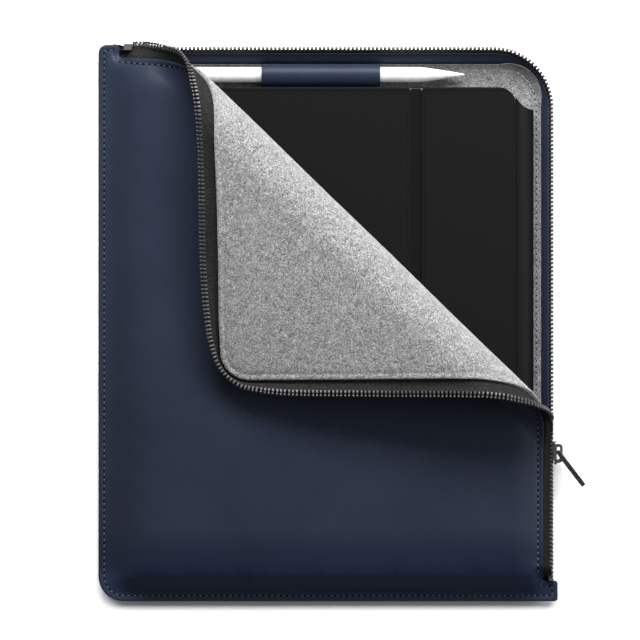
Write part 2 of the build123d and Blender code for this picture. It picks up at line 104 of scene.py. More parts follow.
def fold(x, y, h):
    """Flat point and height above the middle surface, to where it is with the corner folded back."""
    t, u = tu(x, y)
    ph = np.clip(u / R, 0, TH)
    far = np.maximum(u - RT, 0)
    cu = np.where(u < 0, u, R * np.sin(ph) + far * math.cos(TH))
    cz = R * (1 - np.cos(ph)) + far * math.sin(TH)
    U, Z = cu - h * np.sin(ph), ZC + cz + h * np.cos(ph) + lift(u)
    return np.stack([t * DX + (N0 + U) * NX, t * DY + (N0 + U) * NY, Z], -1)


A_LEFT = curve([0, 5.0, 7.0, 12, 18, 24, 31, 42], [0, 0, 0.06, 0.30, 0.60, 0.82, 0.955, 1.0])
B_LOW = curve([0, 5.0, 6.8, 10, 13.5, 17.5, 24, 34], [0, 0, 0.08, 0.40, 0.75, 0.90, 0.968, 1.0])
X_LEFT, Y_BOT = -131.5, -161.5
SIDE_X = curve([-200, 14, 26, 34, 44, 56, 66, 200], [126.7, 126.4, 127.0, 126.6, 124.9, 122.6, 121.9, 121.9])
TOP_Y = curve([-130, -120, -100, -84, -64, -33, 3, 50, 92, 140], [154.4, 154.2, 152.6, 151.0, 150.4, 150.8, 151.0, 152.3, 154.0, 154.2])


def drop(x, y, c_edge):
    """How far the cover's surface lies below its flat top: the sewn sides, the rolled free edges and a little slack."""
    t, u = tu(x, y)
    a, b = x - X_LEFT, y - Y_BOT
    up = A_LEFT(a) * B_LOW(b)
    tab = smooth((y - 148.0) / 7.5) * (1 - smooth((a - 11.5) / 9.0))
    up = up * (1 - tab)
    low = smooth((x - 119.0) / 8.0) * (1 - smooth((b - 11.9) / 9.0))
    up = up * (1 - low)
    out = 14.95 * (1 - up)
    c = np.clip(c_edge, 0, 60)
    near = smooth(1 - c / 19.0) ** 1.3
    amp = 3.0 * (1 - smooth((u - 2) / 26.0)) * smooth((a - 10) / 14.0) * smooth((b - 12) / 12.0)
    out = out + amp * near
    out = out + 0.22 * np.sin(x * 0.045 + 0.6) * np.sin(y * 0.037 + 1.1) * smooth((a - 30) / 30) * smooth((b - 30) / 30)
    return out


# ------------------------------------------------------------------ outlines of the flat cover
def arc(cx, cy, r, a0, a1, n):
    g = np.radians(np.linspace(a0, a1, n))
    return [(cx + r * math.cos(q), cy + r * math.sin(q)) for q in g]


def side_point(y):
    u = 124.5 * NX + y * NY - N0
    return float(SIDE_X(u)), y


RC = 16.5


def cover_outline():
    p = []
    p += arc(X_LEFT + 14.5, Y_BOT + 14.5, 14.5, 180, 270, 12)
    p += [(133.6, Y_BOT)] + arc(133.6, Y_BOT + 1.5, 1.5, 290, 360, 4) + arc(133.9, -150.8, 1.2, 0, 90, 4)
    p += [(127.6, -149.6), (126.9, -149.0)]
    p += [side_point(y) for y in np.arange(-147, 154.15 - RC, 1.5)]
    p += arc(121.9 - RC, 154.15 - RC, RC, 0, 90, 18)[1:]
    p += [(x, float(TOP_Y(x))) for x in np.arange(121.9 - RC - 1.5, -118.6, -1.5)]
    p += [(-119.0, 154.5), (-119.2, 155.6)] + arc(-120.6, 160.1, 1.4, 0, 90, 4)
    p += arc(X_LEFT + 4.6, 161.5 - 4.6, 4.6, 90, 180, 7)
    return resample(np.array(p), 1.6, closed=True)


def resample(p, step, closed=False):
    if closed:
        p = np.vstack([p, p[:1]])
    d = np.hypot(*np.diff(p, axis=0).T)
    s = np.concatenate([[0], np.cumsum(d)])
    keep = np.concatenate([[True], d > 1e-6])
    p, s = p[keep], s[keep]
    n = max(2, int(round(s[-1] / step)))
    q = np.linspace(0, s[-1], n + 1)
    out = np.stack([np.interp(q, s, p[:, 0]), np.interp(q, s, p[:, 1])], -1)
    return out[:-1] if closed else out


def edge_distance(pts, line, closed=True):
    a = line
    b = np.roll(line, -1, axis=0) if closed else line[1:]
    a = a if closed else line[:-1]
    best = np.full(len(pts), 1e9)
    ab = b - a
    l2 = np.maximum((ab ** 2).sum(1), 1e-12)
    for i in range(0, len(pts), 4000):
        p = pts[i:i + 4000, None, :]
        t = np.clip(((p - a) * ab).sum(-1) / l2, 0, 1)
        d = np.sqrt((((a + t[..., None] * ab) - p) ** 2).sum(-1))
        best[i:i + 4000] = d.min(1)
    return best


def inside(pts, poly):
    x, y = pts[:, 0][:, None], pts[:, 1][:, None]
    a, b = poly, np.roll(poly, -1, axis=0)
    cond = (a[:, 1] > y) != (b[:, 1] > y)
    xi = (b[:, 0] - a[:, 0]) * (y - a[:, 1]) / np.where(b[:, 1] == a[:, 1], 1e-12, b[:, 1] - a[:, 1]) + a[:, 0]
    return ((cond & (x < xi)).sum(1) % 2) == 1


def offset_in(poly, d):
    """Points of the outline moved inwards by d, without the ones that fall too near another part of it."""
    prev, nxt = np.roll(poly, 1, axis=0), np.roll(poly, -1, axis=0)
    tan = nxt - prev
    tan /= np.maximum(np.linalg.norm(tan, axis=1), 1e-9)[:, None]
    n = np.stack([-tan[:, 1], tan[:, 0]], -1)
    q = poly + n * d
    dist = edge_distance(q, poly)
    return q, (dist > d - 0.06)


OUTLINE = cover_outline()
# free edge only: where the zip tape is sewn
FREE = OUTLINE[(OUTLINE[:, 0] > -119.0) & (OUTLINE[:, 1] > -148.8) & ((OUTLINE[:, 0] > 119.5) | (OUTLINE[:, 1] > 125))]


def free_distance(x, y):
    return edge_distance(np.stack([x, y], -1), FREE, closed=False)


# ------------------------------------------------------------------ mesh helpers
def new_object(name, verts, faces, mat, smooth_deg=38):
    me = bpy.data.meshes.new(name)
    me.from_pydata([tuple(v) for v in (np.asarray(verts) * MM).tolist()], [], faces)
    me.update()
    me.validate()
    o = bpy.data.objects.new(name, me)
    bpy.context.scene.collection.objects.link(o)
    me.shade_smooth()
    me.set_sharp_from_angle(angle=math.radians(smooth_deg))
    if mat:
        me.materials.append(mat)
    return o


def closed_sheet(top, bottom, cells):
    """Closed solid between two sets of matching points. cells are tuples of point numbers."""
    used = sorted({i for c in cells for i in c})
    idx = {v: k for k, v in enumerate(used)}
    n = len(used)
    verts = np.vstack([top[used], bottom[used]])
    faces, count = [], {}
    for c in cells:
        c = [idx[i] for i in c]
        faces.append(tuple(c))
        faces.append(tuple(n + i for i in reversed(c)))
        for a, b in zip(c, c[1:] + c[:1]):
            count[(a, b)] = count.get((a, b), 0) + 1
    for (a, b) in list(count):
        if (b, a) not in count:
            faces.append((b, a, n + a, n + b))
    return verts, faces


def oriented(verts, faces):
    v = np.asarray(verts)
    vol = 0.0
    for f in faces:
        p0 = v[f[0]]
        for i in range(1, len(f) - 1):
            vol += np.dot(p0, np.cross(v[f[i]], v[f[i + 1]]))
    return faces if vol > 0 else [tuple(reversed(f)) for f in faces]


REGIONS = [("lower", -1e4, 0.0), ("bend1", 0.0, RB), ("bend2", RB, 2 * RB), ("bend3", 2 * RB, RT), ("flap", RT, 1e4)]
PAIRS = {"bend1": ("folio", "fold_strip_lower"), "bend2": ("fold_strip_lower", "fold_strip_upper"), "bend3": ("fold_strip_upper", "flap")}


def attach(o, region):
    """Moves with the folio or the flap; a piece of one of the three fold bands is only baked in place."""
    if region in PAIRS:
        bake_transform(o)
    else:
        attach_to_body(o, "folio" if region == "lower" else "flap")
    return o


def triangulate(points, loop):
    """Constrained triangles of a closed loop (indices into points)."""
    edges = [(loop[i], loop[(i + 1) % len(loop)]) for i in range(len(loop))]
    res = geometry.delaunay_2d_cdt([Vector(p) for p in points.tolist()], edges, [], 1, 1e-5)
    return np.array([list(v) for v in res[0]]), [tuple(f) for f in res[2]]


def clip_line(poly, limit, keep_above):
    """Clips a polygon by the line u = limit."""
    out = []
    n = len(poly)
    val = poly @ np.array([NX, NY]) - N0 - limit
    if not keep_above:
        val = -val
    for i in range(n):
        a, b, va, vb = poly[i], poly[(i + 1) % n], val[i], val[(i + 1) % n]
        if va >= 0:
            out.append(a)
        if (va >= 0) != (vb >= 0) and abs(va) > 1e-9 and abs(vb) > 1e-9:
            out.append(a + (b - a) * va / (va - vb))
    return np.array(out)


def lattice(region, lo, hi):
    """Inner points, lined up with the fold."""
    us = []
    if region == "lower":
        us = list(np.arange(-4.0, lo - 4, -4.0)) + [-0.3, -1.4]
    elif region == "flap":
        us = list(np.arange(RT + 4, hi + 4, 4.0)) + [RT + 0.3, RT + 1.4]
    else:
        k = int(region[-1]) - 1
        a = k * RB
        us = list(np.linspace(a, a + RB, 11)[1:-1]) + [a + 0.3, a + RB - 0.3]
    return us


def sheet_parts(name, outline, h1, h0, mat, bevel=0.7, groove=None, rings=(0.28, 0.7, 1.3), back_groove=None, regions=None, lumps=0.0):
    """The cover's layer between heights h1 and h0, in one closed piece for each part of the fold."""
    made = {}
    t_all, u_all = tu(outline[:, 0], outline[:, 1])
    extra = []
    for d in rings:
        q, ok = offset_in(outline, d)
        extra.append(q[ok])
    extra = np.vstack(extra)
    for region, ua, ub in REGIONS:
        if regions and region not in regions:
            continue
        poly = outline
        if ua > -1e3:
            poly = clip_line(poly, ua, True)
        if ub < 1e3:
            poly = clip_line(poly, ub, False)
        if len(poly) < 3:
            continue
        # points on the split lines at set places, so that neighbours meet
        full = []
        for i in range(len(poly)):
            a, b = poly[i], poly[(i + 1) % len(poly)]
            full.append(a)
            ta, ua_ = tu(*a)
            tb, ub_ = tu(*b)
            if abs(ua_ - ub_) < 1e-6 and abs(ta - tb) > 4:
                lo_, hi_ = min(ta, tb), max(ta, tb)
                ts = np.arange(math.ceil((lo_ + 0.5) / 4) * 4, hi_ - 0.5, 4.0)
                if tb < ta:
                    ts = ts[::-1]
                for t in ts:
                    full.append(np.array([t * DX + (N0 + ua_) * NX, t * DY + (N0 + ua_) * NY]))
        loop_pts = np.array(full)
        t_, u_ = tu(loop_pts[:, 0], loop_pts[:, 1])
        us = lattice(region, u_.min(), u_.max())
        ts = np.arange(math.floor(t_.min() / 4) * 4, t_.max() + 4, 4.0)
        T, U = np.meshgrid(ts, us)
        grid = np.stack([T * DX + (N0 + U) * NX, T * DY + (N0 + U) * NY], -1).reshape(-1, 2)
        grid = grid[inside(grid, outline)]
        if len(grid):
            grid = grid[edge_distance(grid, outline) > max(rings) + 1.2]
        _, ue = tu(extra[:, 0], extra[:, 1])
        ring_pts = extra[(ue > ua + 0.12) & (ue < ub - 0.12)]
        inner = np.vstack([grid, ring_pts])
        _, ui = tu(inner[:, 0], inner[:, 1])
        inner = inner[(ui > ua + 0.1) & (ui < ub - 0.1)]
        pts = np.vstack([loop_pts, inner])
        pts2, tris = triangulate(pts, list(range(len(loop_pts))))
        d = edge_distance(pts2, outline)
        x, y = pts2[:, 0], pts2[:, 1]
        c = free_distance(x, y)
        dr = drop(x, y, c)
        e = np.clip(bevel - d, 0, bevel)
        round_ = bevel - np.sqrt(np.maximum(bevel ** 2 - e ** 2, 0))
        top = h1 - dr - round_ * 0.9
        bot = h0 - dr + round_ * 0.5
        if groove:
            depth, at, width = groove
            top = top - depth * np.exp(-((d - at) / width) ** 2)
        if back_groove:
            depth, at, width = back_groove
            bot = bot + depth * np.exp(-((d - at) / width) ** 2)
        if lumps:
            g = lumps * (np.sin(x * 0.31 + 0.9 * np.sin(y * 0.17)) * np.sin(y * 0.27 + 1.3 * np.sin(x * 0.13)))
            bot = bot + g
        v, f = closed_sheet(fold(x, y, top), fold(x, y, bot), tris)
        o = new_object(f"{name}_{region}", v, oriented(v, f), mat)
        tri = np.array([c[:3] for c in tris])
        float(np.ptp(u_)) * MM
        float(np.ptp(t_)) * MM
        made[region] = o
    return made


# ------------------------------------------------------------------ materials
def material(name):
    m = bpy.data.materials.new(name)
    m.use_nodes = True
    nt = m.node_tree
    b = nt.nodes["Principled BSDF"]
    return m, nt, b


def node(nt, kind, **kw):
    n = nt.nodes.new(kind)
    for k, v in kw.items():
        if k in n.inputs:
            n.inputs[k].default_value = v
        else:
            setattr(n, k, v)
    return n


def srgb(r, g, b):
    f = lambda c: c / 12.92 if c <= 0.04045 else ((c + 0.055) / 1.055) ** 2.4
    return (f(r / 255), f(g / 255), f(b / 255), 1)


def mapping(nt, scale=1.0, stretch=(1, 1, 1)):
    tc = node(nt, "ShaderNodeTexCoord")
    mp = node(nt, "ShaderNodeMapping")
    mp.inputs["Scale"].default_value = tuple(scale * s for s in stretch)
    nt.links.new(tc.outputs["Object"], mp.inputs["Vector"])
    return mp.outputs["Vector"]


def map_range(nt, src, lo, hi):
    n = node(nt, "ShaderNodeMapRange")
    n.inputs["From Min"].default_value, n.inputs["From Max"].default_value = lo, hi
    nt.links.new(src, n.inputs["Value"])
    return n.outputs["Result"]


def ramp(nt, src, stops):
    r = node(nt, "ShaderNodeValToRGB")
    r.color_ramp.elements[0].position, r.color_ramp.elements[0].color = stops[0]
    r.color_ramp.elements[1].position, r.color_ramp.elements[1].color = stops[-1]
    for p, c in stops[1:-1]:
        e = r.color_ramp.elements.new(p)
        e.color = c
    nt.links.new(src, r.inputs["Fac"])
    return r.outputs["Color"]


def bump(nt, height, strength, distance, normal=None):
    b = node(nt, "ShaderNodeBump")
    b.inputs["Strength"].default_value = strength
    b.inputs["Distance"].default_value = distance
    nt.links.new(height, b.inputs["Height"])
    if normal:
        nt.links.new(normal, b.inputs["Normal"])
    return b.outputs["Normal"]


def leather_mat(name, base, dark, light, rough=0.46):
    m, nt, b = material(name)
    v = mapping(nt)
    big = node(nt, "ShaderNodeTexNoise", Scale=28.0, Detail=4.0, Roughness=0.55)
    nt.links.new(v, big.inputs["Vector"])
    col = ramp(nt, big.outputs["Fac"], [(0.32, dark), (0.5, base), (0.7, light)])
    pores = node(nt, "ShaderNodeTexVoronoi", Scale=1500.0)
    pores.feature = "F1"
    nt.links.new(v, pores.inputs["Vector"])
    grain = node(nt, "ShaderNodeTexNoise", Scale=2300.0, Detail=3.0, Roughness=0.6)
    nt.links.new(v, grain.inputs["Vector"])
    n1 = bump(nt, pores.outputs["Distance"], 0.20, 0.00025)
    n2 = bump(nt, grain.outputs["Fac"], 0.14, 0.00020, n1)
    wide = node(nt, "ShaderNodeTexNoise", Scale=70.0, Detail=3.0, Roughness=0.5)
    nt.links.new(v, wide.inputs["Vector"])
    n3 = bump(nt, wide.outputs["Fac"], 0.10, 0.0011, n2)
    nt.links.new(n3, b.inputs["Normal"])
    # painted shade and light: the leather's colour is darkened and tinted bluer towards the lower edge, where the cover
    # slopes down over the case away from the key light, and lightened towards the top edge, where the key light falls
    place = node(nt, "ShaderNodeTexCoord")
    split = node(nt, "ShaderNodeSeparateXYZ")
    nt.links.new(place.outputs["Object"], split.inputs[0])
    along = ramp(nt, map_range(nt, split.outputs["Y"], -0.160, 0.120), [(0.0, (1, 1, 1, 1)), (0.0086, (1, 1, 1, 1)), (0.021, (0.85, 0.98, 1.25, 1)), (0.048, (0.80, 0.96, 1.25, 1)), (0.064, (0.52, 0.60, 0.80, 1)), (0.092, (0.45, 0.52, 0.66, 1)), (0.120, (0.60, 0.64, 0.72, 1)),
                                                                     (0.15, (0.80, 0.80, 0.80, 1)), (0.36, (0.82, 0.82, 0.82, 1)), (0.56, (0.93, 0.93, 0.93, 1)), (1.0, (1.12, 1.12, 1.12, 1))])
    shade = node(nt, "ShaderNodeMix", data_type="RGBA", blend_type="MULTIPLY")
    shade.inputs["Factor"].default_value = 1.0
    nt.links.new(col, shade.inputs["A"])
    nt.links.new(along, shade.inputs["B"])
    nt.links.new(shade.outputs["Result"], b.inputs["Base Color"])
    rr = node(nt, "ShaderNodeMapRange")
    nt.links.new(grain.outputs["Fac"], rr.inputs["Value"])
    rr.inputs["To Min"].default_value, rr.inputs["To Max"].default_value = rough - 0.05, rough + 0.09
    nt.links.new(rr.outputs["Result"], b.inputs["Roughness"])
    b.inputs["Specular IOR Level"].default_value = 0.14
    return m


def felt_mat(name, rim=False):
    m, nt, b = material(name)
    v = mapping(nt)
    fib = node(nt, "ShaderNodeTexNoise", Scale=1350.0, Detail=4.0, Roughness=0.75, Distortion=1.3)
    nt.links.new(v, fib.inputs["Vector"])
    blot = node(nt, "ShaderNodeTexNoise", Scale=330.0, Detail=4.0, Roughness=0.6, Distortion=1.3)
    nt.links.new(v, blot.inputs["Vector"])
    mix = node(nt, "ShaderNodeMath", operation="MULTIPLY_ADD")
    nt.links.new(fib.outputs["Fac"], mix.inputs[0])
    mix.inputs[1].default_value = 0.80
    half = node(nt, "ShaderNodeMath", operation="MULTIPLY")
    nt.links.new(blot.outputs["Fac"], half.inputs[0])
    half.inputs[1].default_value = 0.20
    nt.links.new(half.outputs[0], mix.inputs[2])
    col = ramp(nt, mix.outputs[0], [(0.38, srgb(36, 36, 37)), (0.47, srgb(86, 86, 87)), (0.53, srgb(122, 122, 122)), (0.62, srgb(168, 168, 168))])
    if rim:
        # painted shadow: the lining's colour is darkened towards the tray's top edge, where the rim shades it from the
        # key light
        place = node(nt, "ShaderNodeTexCoord")
        split = node(nt, "ShaderNodeSeparateXYZ")
        nt.links.new(place.outputs["Object"], split.inputs[0])
        up = ramp(nt, map_range(nt, split.outputs["Y"], 0.120, 0.155), [(0.0, (1, 1, 1, 1)), (0.35, (0.92, 0.92, 0.92, 1)), (0.62, (0.62, 0.62, 0.62, 1)), (0.85, (0.42, 0.42, 0.42, 1)), (1.0, (0.40, 0.40, 0.40, 1))])
        shade = node(nt, "ShaderNodeMix", data_type="RGBA", blend_type="MULTIPLY")
        shade.inputs["Factor"].default_value = 1.0
        nt.links.new(col, shade.inputs["A"])
        nt.links.new(up, shade.inputs["B"])
        col = shade.outputs["Result"]
    nt.links.new(col, b.inputs["Base Color"])
    n1 = bump(nt, fib.outputs["Fac"], 0.5, 0.0004)
    n2 = bump(nt, blot.outputs["Fac"], 0.35, 0.0012, n1)
    nt.links.new(n2, b.inputs["Normal"])
    b.inputs["Roughness"].default_value = 0.96
    b.inputs["Specular IOR Level"].default_value = 0.1
    b.inputs["Sheen Weight"].default_value = 0.25
    b.inputs["Sheen Roughness"].default_value = 0.6
    return m


def tape_mat(name):
    m, nt, b = material(name)
    v = mapping(nt)
    w = node(nt, "ShaderNodeTexVoronoi", Scale=1300.0)
    nt.links.new(v, w.inputs["Vector"])
    w2 = node(nt, "ShaderNodeTexNoise", Scale=900.0, Detail=2.0)
    nt.links.new(v, w2.inputs["Vector"])
    col = ramp(nt, w2.outputs["Fac"], [(0.35, (0.003, 0.003, 0.003, 1)), (0.65, (0.0115, 0.0115, 0.012, 1))])
    # painted shade: the tape's colour is darkened along the straight side, where it turns down over the chain
    place = node(nt, "ShaderNodeTexCoord")
    split = node(nt, "ShaderNodeSeparateXYZ")
    nt.links.new(place.outputs["Object"], split.inputs[0])
    side = ramp(nt, map_range(nt, split.outputs["X"], 0.100, 0.135), [(0.0, (1, 1, 1, 1)), (0.5, (0.9, 0.9, 0.9, 1)), (0.75, (0.35, 0.35, 0.35, 1)), (1.0, (0.30, 0.30, 0.30, 1))])
    shade = node(nt, "ShaderNodeMix", data_type="RGBA", blend_type="MULTIPLY")
    shade.inputs["Factor"].default_value = 1.0
    nt.links.new(col, shade.inputs["A"])
    nt.links.new(side, shade.inputs["B"])
    nt.links.new(shade.outputs["Result"], b.inputs["Base Color"])
    nt.links.new(bump(nt, w.outputs["Distance"], 0.8, 0.0004), b.inputs["Normal"])
    b.inputs["Roughness"].default_value = 0.85
    b.inputs["Specular IOR Level"].default_value = 0.20
    return m


def metal_mat(name, col, rough, scratch=0.08):
    m, nt, b = material(name)
    v = mapping(nt)
    s = node(nt, "ShaderNodeTexNoise", Scale=900.0, Detail=4.0)
    nt.links.new(v, s.inputs["Vector"])
    c = ramp(nt, s.outputs["Fac"], [(0.3, tuple(x * 0.8 for x in col[:3]) + (1,)), (0.7, col)])
    nt.links.new(c, b.inputs["Base Color"])
    rr = node(nt, "ShaderNodeMapRange")
    nt.links.new(s.outputs["Fac"], rr.inputs["Value"])
    rr.inputs["To Min"].default_value, rr.inputs["To Max"].default_value = rough - 0.05, rough + 0.1
    nt.links.new(rr.outputs["Result"], b.inputs["Roughness"])
    nt.links.new(bump(nt, s.outputs["Fac"], scratch, 0.0002), b.inputs["Normal"])
    b.inputs["Metallic"].default_value = 1.0
    return m


def plastic_mat(name, col, rough, grain=0.0, gscale=1500.0, spec=0.5, coat=0.0):
    m, nt, b = material(name)
    v = mapping(nt)
    s = node(nt, "ShaderNodeTexNoise", Scale=gscale, Detail=3.0)
    nt.links.new(v, s.inputs["Vector"])
    c = ramp(nt, s.outputs["Fac"], [(0.3, tuple(x * 0.88 for x in col[:3]) + (1,)), (0.7, tuple(min(1, x * 1.08) for x in col[:3]) + (1,))])
    nt.links.new(c, b.inputs["Base Color"])
    if grain:
        nt.links.new(bump(nt, s.outputs["Fac"], grain, 0.0002), b.inputs["Normal"])
    b.inputs["Roughness"].default_value = rough
    b.inputs["Specular IOR Level"].default_value = spec
    b.inputs["Coat Weight"].default_value = coat
    return m


M_LEATHER = leather_mat("leather_navy", (0.0103, 0.0150, 0.0285, 1), (0.0092, 0.0136, 0.0264, 1), (0.0115, 0.0165, 0.0306, 1))
M_FELT = felt_mat("felt_grey")
# felt with the rim's shadow painted in, for the tray's lining
M_FELT_RIM_SHADOW = felt_mat("felt_grey_rim_shadow", rim=True)
M_TAPE = tape_mat("tape_black")
M_TEETH = metal_mat("teeth_nickel", (0.105, 0.103, 0.100, 1), 0.58)
M_TEETH_REAR = metal_mat("teeth_nickel_dark", (0.06, 0.059, 0.058, 1), 0.42)
M_SLIDER = metal_mat("slider_nickel", (0.19, 0.19, 0.19, 1), 0.30)
M_PULL = metal_mat("pull_nickel", (0.13, 0.13, 0.13, 1), 0.24)
M_CREASE = plastic_mat("crease_black", (0.0030, 0.0030, 0.0030, 1), 0.7, 0.2, 1500.0, 0.05)
M_THREAD = plastic_mat("thread_navy", (0.040, 0.050, 0.078, 1), 0.7, 0.3, 3000.0, 0.3)
M_THREAD_FELT = plastic_mat("thread_grey", srgb(120, 121, 124), 0.8, 0.3, 3000.0, 0.2)
# painted shade: near-black for the bodies sunk into the needle holes, standing in for the shade inside them
M_HOLE_SHADE = plastic_mat("needle_hole", (0.0015, 0.0018, 0.003, 1), 0.9, 0.0, 500.0, 0.1)
# painted highlight for the rim leather's cut edge
M_EDGE_HIGHLIGHT = plastic_mat("leather_edge_highlight", (0.060, 0.074, 0.104, 1), 0.45, 0.0, 900.0, 0.05)
M_CASE = plastic_mat("case_cloth_black", (0.0031, 0.0031, 0.0032, 1), 0.55, 0.3, 1900.0, 0.07)
M_CASE_EDGE = plastic_mat("case_plastic_black", (0.0030, 0.0030, 0.0031, 1), 0.5, 0.2, 1500.0, 0.1)
M_METAL_DARK = metal_mat("hinge_grey", (0.10, 0.10, 0.105, 1), 0.4)
M_TABLET = metal_mat("tablet_grey", (0.25, 0.25, 0.26, 1), 0.42, 0.04)
M_GLASS = plastic_mat("display_black", (0.004, 0.004, 0.005, 1), 0.08, 0.0, 100.0, 0.5, 0.6)
M_WHITE = plastic_mat("stylus_white", (0.50, 0.50, 0.50, 1), 0.34, 0.0, 300.0, 0.25, 0.05)
M_RING = plastic_mat("stylus_ring", srgb(170, 170, 170), 0.4, 0.0, 300.0)

# ------------------------------------------------------------------ the cover's leather and felt
leather = sheet_parts("cover_leather", OUTLINE, L_OUT, L_IN, M_LEATHER, bevel=0.75, groove=(0.32, 3.3, 0.75),
                      rings=(0.25, 0.75, 1.7, 2.6, 3.3, 4.0, 5.2))


def felt_outline():
    p = []
    p += arc(-108, -144, 6, 180, 270, 5)
    p += [(118, -150.0)]
    free = FREE[np.argsort(np.arctan2(FREE[:, 1] + 160, FREE[:, 0] + 130))]
    q, _ = offset_in(OUTLINE, 0.35)
    sel = (OUTLINE[:, 0] > -113.0) & (OUTLINE[:, 1] > -146.0) & ((OUTLINE[:, 0] > 119.5) | (OUTLINE[:, 1] > 125))
    p += [tuple(v) for v in q[sel]]
    p += [(-114, 150.0)]
    return resample(np.array(p), 1.6, closed=True)


FELT_OUTLINE = felt_outline()
felt = sheet_parts("cover_felt", FELT_OUTLINE, F_IN, F_OUT, M_FELT, bevel=1.0, back_groove=(0.42, 3.4, 0.8),
                   rings=(0.3, 0.9, 1.8, 2.6, 3.3, 4.0, 5.2), lumps=0.05)
for k, o in leather.items():
    attach(o, k)
for k, o in felt.items():
    attach(o, k)
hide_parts("front_cover_leather")
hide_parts("fold_band_lower_leather")
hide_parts("fold_band_upper_leather")
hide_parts("flap_leather")
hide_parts("front_lining_felt")
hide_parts("fold_band_lower_felt")
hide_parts("fold_band_upper_felt")
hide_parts("flap_lining_felt")

# ------------------------------------------------------------------ zip tape and teeth along the free edge
# How the zip tape hangs from the free edge: distance along the edge from the lower side end, turn of the tape
# towards the felt side in degrees, and a small sideways set of the teeth (x, y). At the rounded corner the tape
# keeps standing, since its tooth row is too short to lie flat there.
TAPE = np.array([
    (0, 64, -0.2, 0), (6, 62, 0.1, -0), (12, 62, 0.1, -0), (18, 62, 0.1, 0), (24, 62, 0.1, 0), (30, 62, 0.1, 0), (36, 62, 0.1, 0), (42, 62, 0.1, 0),
    (48, 62, 0.1, 0), (54, 62, 0.1, 0), (60, 62, 0.1, 0), (66, 62, 0.1, -0), (72, 63, 0.2, -0), (78, 71, -0.1, 0), (80, 74, -0.1, 0), (82, 76, -0.1, 0),
    (84, 77, -0.2, 0), (86, 75, -0.5, 0), (88, 72, -1.2, -0.1), (90, 65, -2.1, -0.4), (92, 57, -2.8, -0.9), (94, 44, -3.2, -1.3), (96, 31, -3.1, -1.3),
    (98, 20, -2.3, -1), (100, 10, -1.3, -0.6), (102, 5, -0.5, -0.3), (104, 1, -0.1, -0), (106, 2, 0.1, 0.1), (108, 2, 0.1, 0.1), (110, 2, 0, 0.1),
    (114, 2, -0, -0.1), (120, 2, -0, -0), (126, 4, -0, -0), (132, 10, -0, -0.1), (138, 16, -0, -0), (144, 18, 0, 0.1), (150, 18, 0, 0.1),
    (156, 15, -0, -0.1), (162, 14, -0, -0.3), (168, 14, -0, -0.4), (174, 14, -0, -0.4), (180, 14, -0, -0.3), (186, 14, -0, -0.2), (192, 14, -0, -0.1),
    (198, 14, -0, -0.1), (204, 16, -0, -0), (210, 21, -0, -0), (216, 24, -0, -0), (222, 27, 0, 0), (228, 29, -0, -0), (234, 31, -0, -0), (240, 33, 0, 0),
    (246, 35, 0, 0), (252, 37, -0, -0), (258, 40, -0, -0), (264, 43, -0, -0), (270, 48, -0, -0), (276, 56, -0, -0), (282, 65, -0, -0), (288, 76, 0, 0),
    (294, 87, 0.1, 0.2), (300, 90, 0.3, 0.3), (306, 90, 0.3, 0.2), (312, 85, 0.1, 0), (318, 74, 0, 0), (324, 64, -0.1, -0), (330, 56, 0.1, 0),
    (336, 50, 0.1, 0), (342, 43, -0, -0), (348, 36, -0, -0), (354, 28, -0, -0), (360, 22, -0.1, -0), (366, 16, -0.3, -0), (372, 12, -0.3, -0),
    (378, 12, -0.3, -0), (384, 12, -0.3, -0), (390, 12, -0.2, -0), (396, 12, -0.1, -0), (402, 12, -0.1, -0), (408, 8, -0, -0), (414, 2, 0, 0),
    (420, -3, -0, -0), (426, -7, 0, 0), (432, -8, 0.1, 0), (438, -8, 0.1, 0), (444, -8, -0, -0), (450, -8, -0, -0), (456, -10, -0.2, -0),
    (462, -15, -0.4, -0.1), (468, -16, -0.5, -0.1), (474, -16, -0.6, -0.1), (480, -11, -0.2, -0), (486, -4, -0, -0), (492, 2, -0, -0),
    (498, 3, 0.2, 0.2), (504, 6, -0.1, -0.3), (510, 10, -0.4, -1.6), (516, 15, -0.5, -2.3), (522, 22, -0.3, -2.2), (528, 33, -0, -1.2),
    (534, 40, -0, 0.1), (540, 12, 0, 0),
], float)

# How far the front tooth row is held up along the straight side, so that the slider's dividing post passes below it.
LIFT = np.array([(0, 0), (3, 0), (11, 2.0), (82, 2.0), (94, 0), (540, 0)], float)


def edge_line(step):
    """The free edge from the lower side end round the corner to the top: points, outward normals, and the distance
    along it.
    """
    p = [(126.9, y) for y in np.arange(-149.2, -147.0, 0.5)]
    p += [side_point(y) for y in np.arange(-147, 154.15 - RC, 1.0)]
    p += arc(121.9 - RC, 154.15 - RC, RC, 0, 90, 34)[1:]
    p += [(x, float(TOP_Y(x))) for x in np.arange(121.9 - RC - 1.0, -119.0, -1.0)] + [(-121.0, 154.3), (-123.6, 154.4)]
    q = resample(np.array(p), step)
    tan = np.gradient(q, axis=0)
    for _ in range(4):
        tan[1:-1] = (tan[:-2] + 2 * tan[1:-1] + tan[2:]) / 4
    tan /= np.linalg.norm(tan, axis=1)[:, None]
    at = np.concatenate([[0], np.cumsum(np.hypot(*np.diff(q, axis=0).T))])
    return q, np.stack([tan[:, 1], -tan[:, 0]], -1), at


